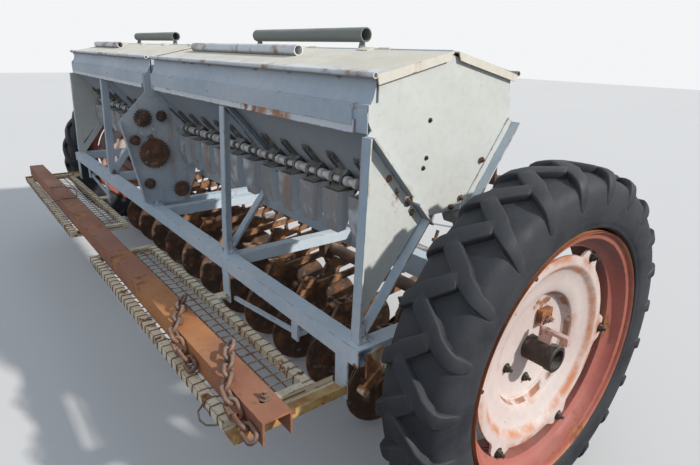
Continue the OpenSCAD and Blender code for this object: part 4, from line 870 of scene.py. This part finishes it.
bolt(bolts, (1.762, -1.695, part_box("tow_bar")[1].z), (0, 0, 1), 0.022, 0.010)
piece("hopper_bolts", bolts, bolt_finish, "root")
piece("panel_bolts", panel_bolts, hub_finish, "root")

# Wire: the footboard's mesh is tied to its rails by wire wound round them; a loose loop sticks out
# at the right end, and another piece of wire lies hooped over the tow bar.


def wire(bm, points, radius, closed=False, sides=6):
    """A round wire along points."""
    points = [Vector(point) for point in points]
    count = len(points)
    rings = []
    for i, point in enumerate(points):
        before = points[i - 1] if closed or i else point
        after = points[(i + 1) % count] if closed or i < count - 1 else point
        way = (after - before).normalized()
        across = way.orthogonal().normalized() if not rings else (last - way * last.dot(way)).normalized()
        last = across
        other = way.cross(across)
        rings.append([bm.verts.new(point + radius * (across * math.cos(a) + other * math.sin(a)))
            for a in (2 * math.pi * k / sides for k in range(sides))])
    made = []
    for i in range(count if closed else count - 1):
        one, two = rings[i], rings[(i + 1) % count]
        shift = 0
        if closed and i == count - 1:
            shift = min(range(sides), key=lambda k: (one[0].co - two[k].co).length)
        for k in range(sides):
            made.append(bm.faces.new((one[k], one[(k + 1) % sides], two[(k + 1 + shift) % sides],
                two[(k + shift) % sides])))
    if not closed:
        made += [bm.faces.new(rings[0]), bm.faces.new(rings[-1])]
    bmesh.ops.recalc_face_normals(bm, faces=made)


wire_finish = bare_iron("wire_iron", (0.10, 0.065, 0.045), (0.30, 0.15, 0.07), (0.40, 0.36, 0.30),
    blooming=0.45)
# A tie's loop round its rail, as shares of its reach out and up
tie_loop = ((-1, -0.8), (-1, 0.8), (-0.85, 1), (0.85, 1), (1, 0.8), (1, -0.8), (0.85, -1), (-0.85, -1))
rail_z = 0.540
chance = random.Random(7)
wires = bmesh.new()
for side, first in ((1, 0.245), (-1, 0.225)):
    for y in (board_low.y + 0.017, board_low.y + 0.292):
        x = first
        while x < 1.70:
            lean = chance.uniform(-0.004, 0.010)
            out = 0.0185 + chance.uniform(0, 0.001)
            tie = [(side * (x + lean * (0.5 if b > 0 else -0.5)), y + a * out, rail_z + b * 0.0168)
                for a, b in tie_loop]
            wire(wires, tie, 0.0017, True, 5)
            x += chance.uniform(0.036, 0.050)
wire(wires, [(1.557, -1.786, 0.532), (1.590, -1.822, 0.532), (1.627, -1.832, 0.530), (1.655, -1.826, 0.529),
    (1.672, -1.806, 0.530), (1.678, -1.786, 0.532)], 0.003)
wire(wires, [(-0.947, -1.754, 0.640), (-0.90, -1.690, 0.648), (-0.846, -1.645, 0.642), (-0.76, -1.640, 0.646),
    (-0.66, -1.655, 0.640), (-0.633, -1.677, 0.636), (-0.66, -1.74, 0.632), (-0.715, -1.790, 0.60)], 0.004)
piece("board_wires", wires, wire_finish, "root")

# Size of the finished model
import json
low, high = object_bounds()
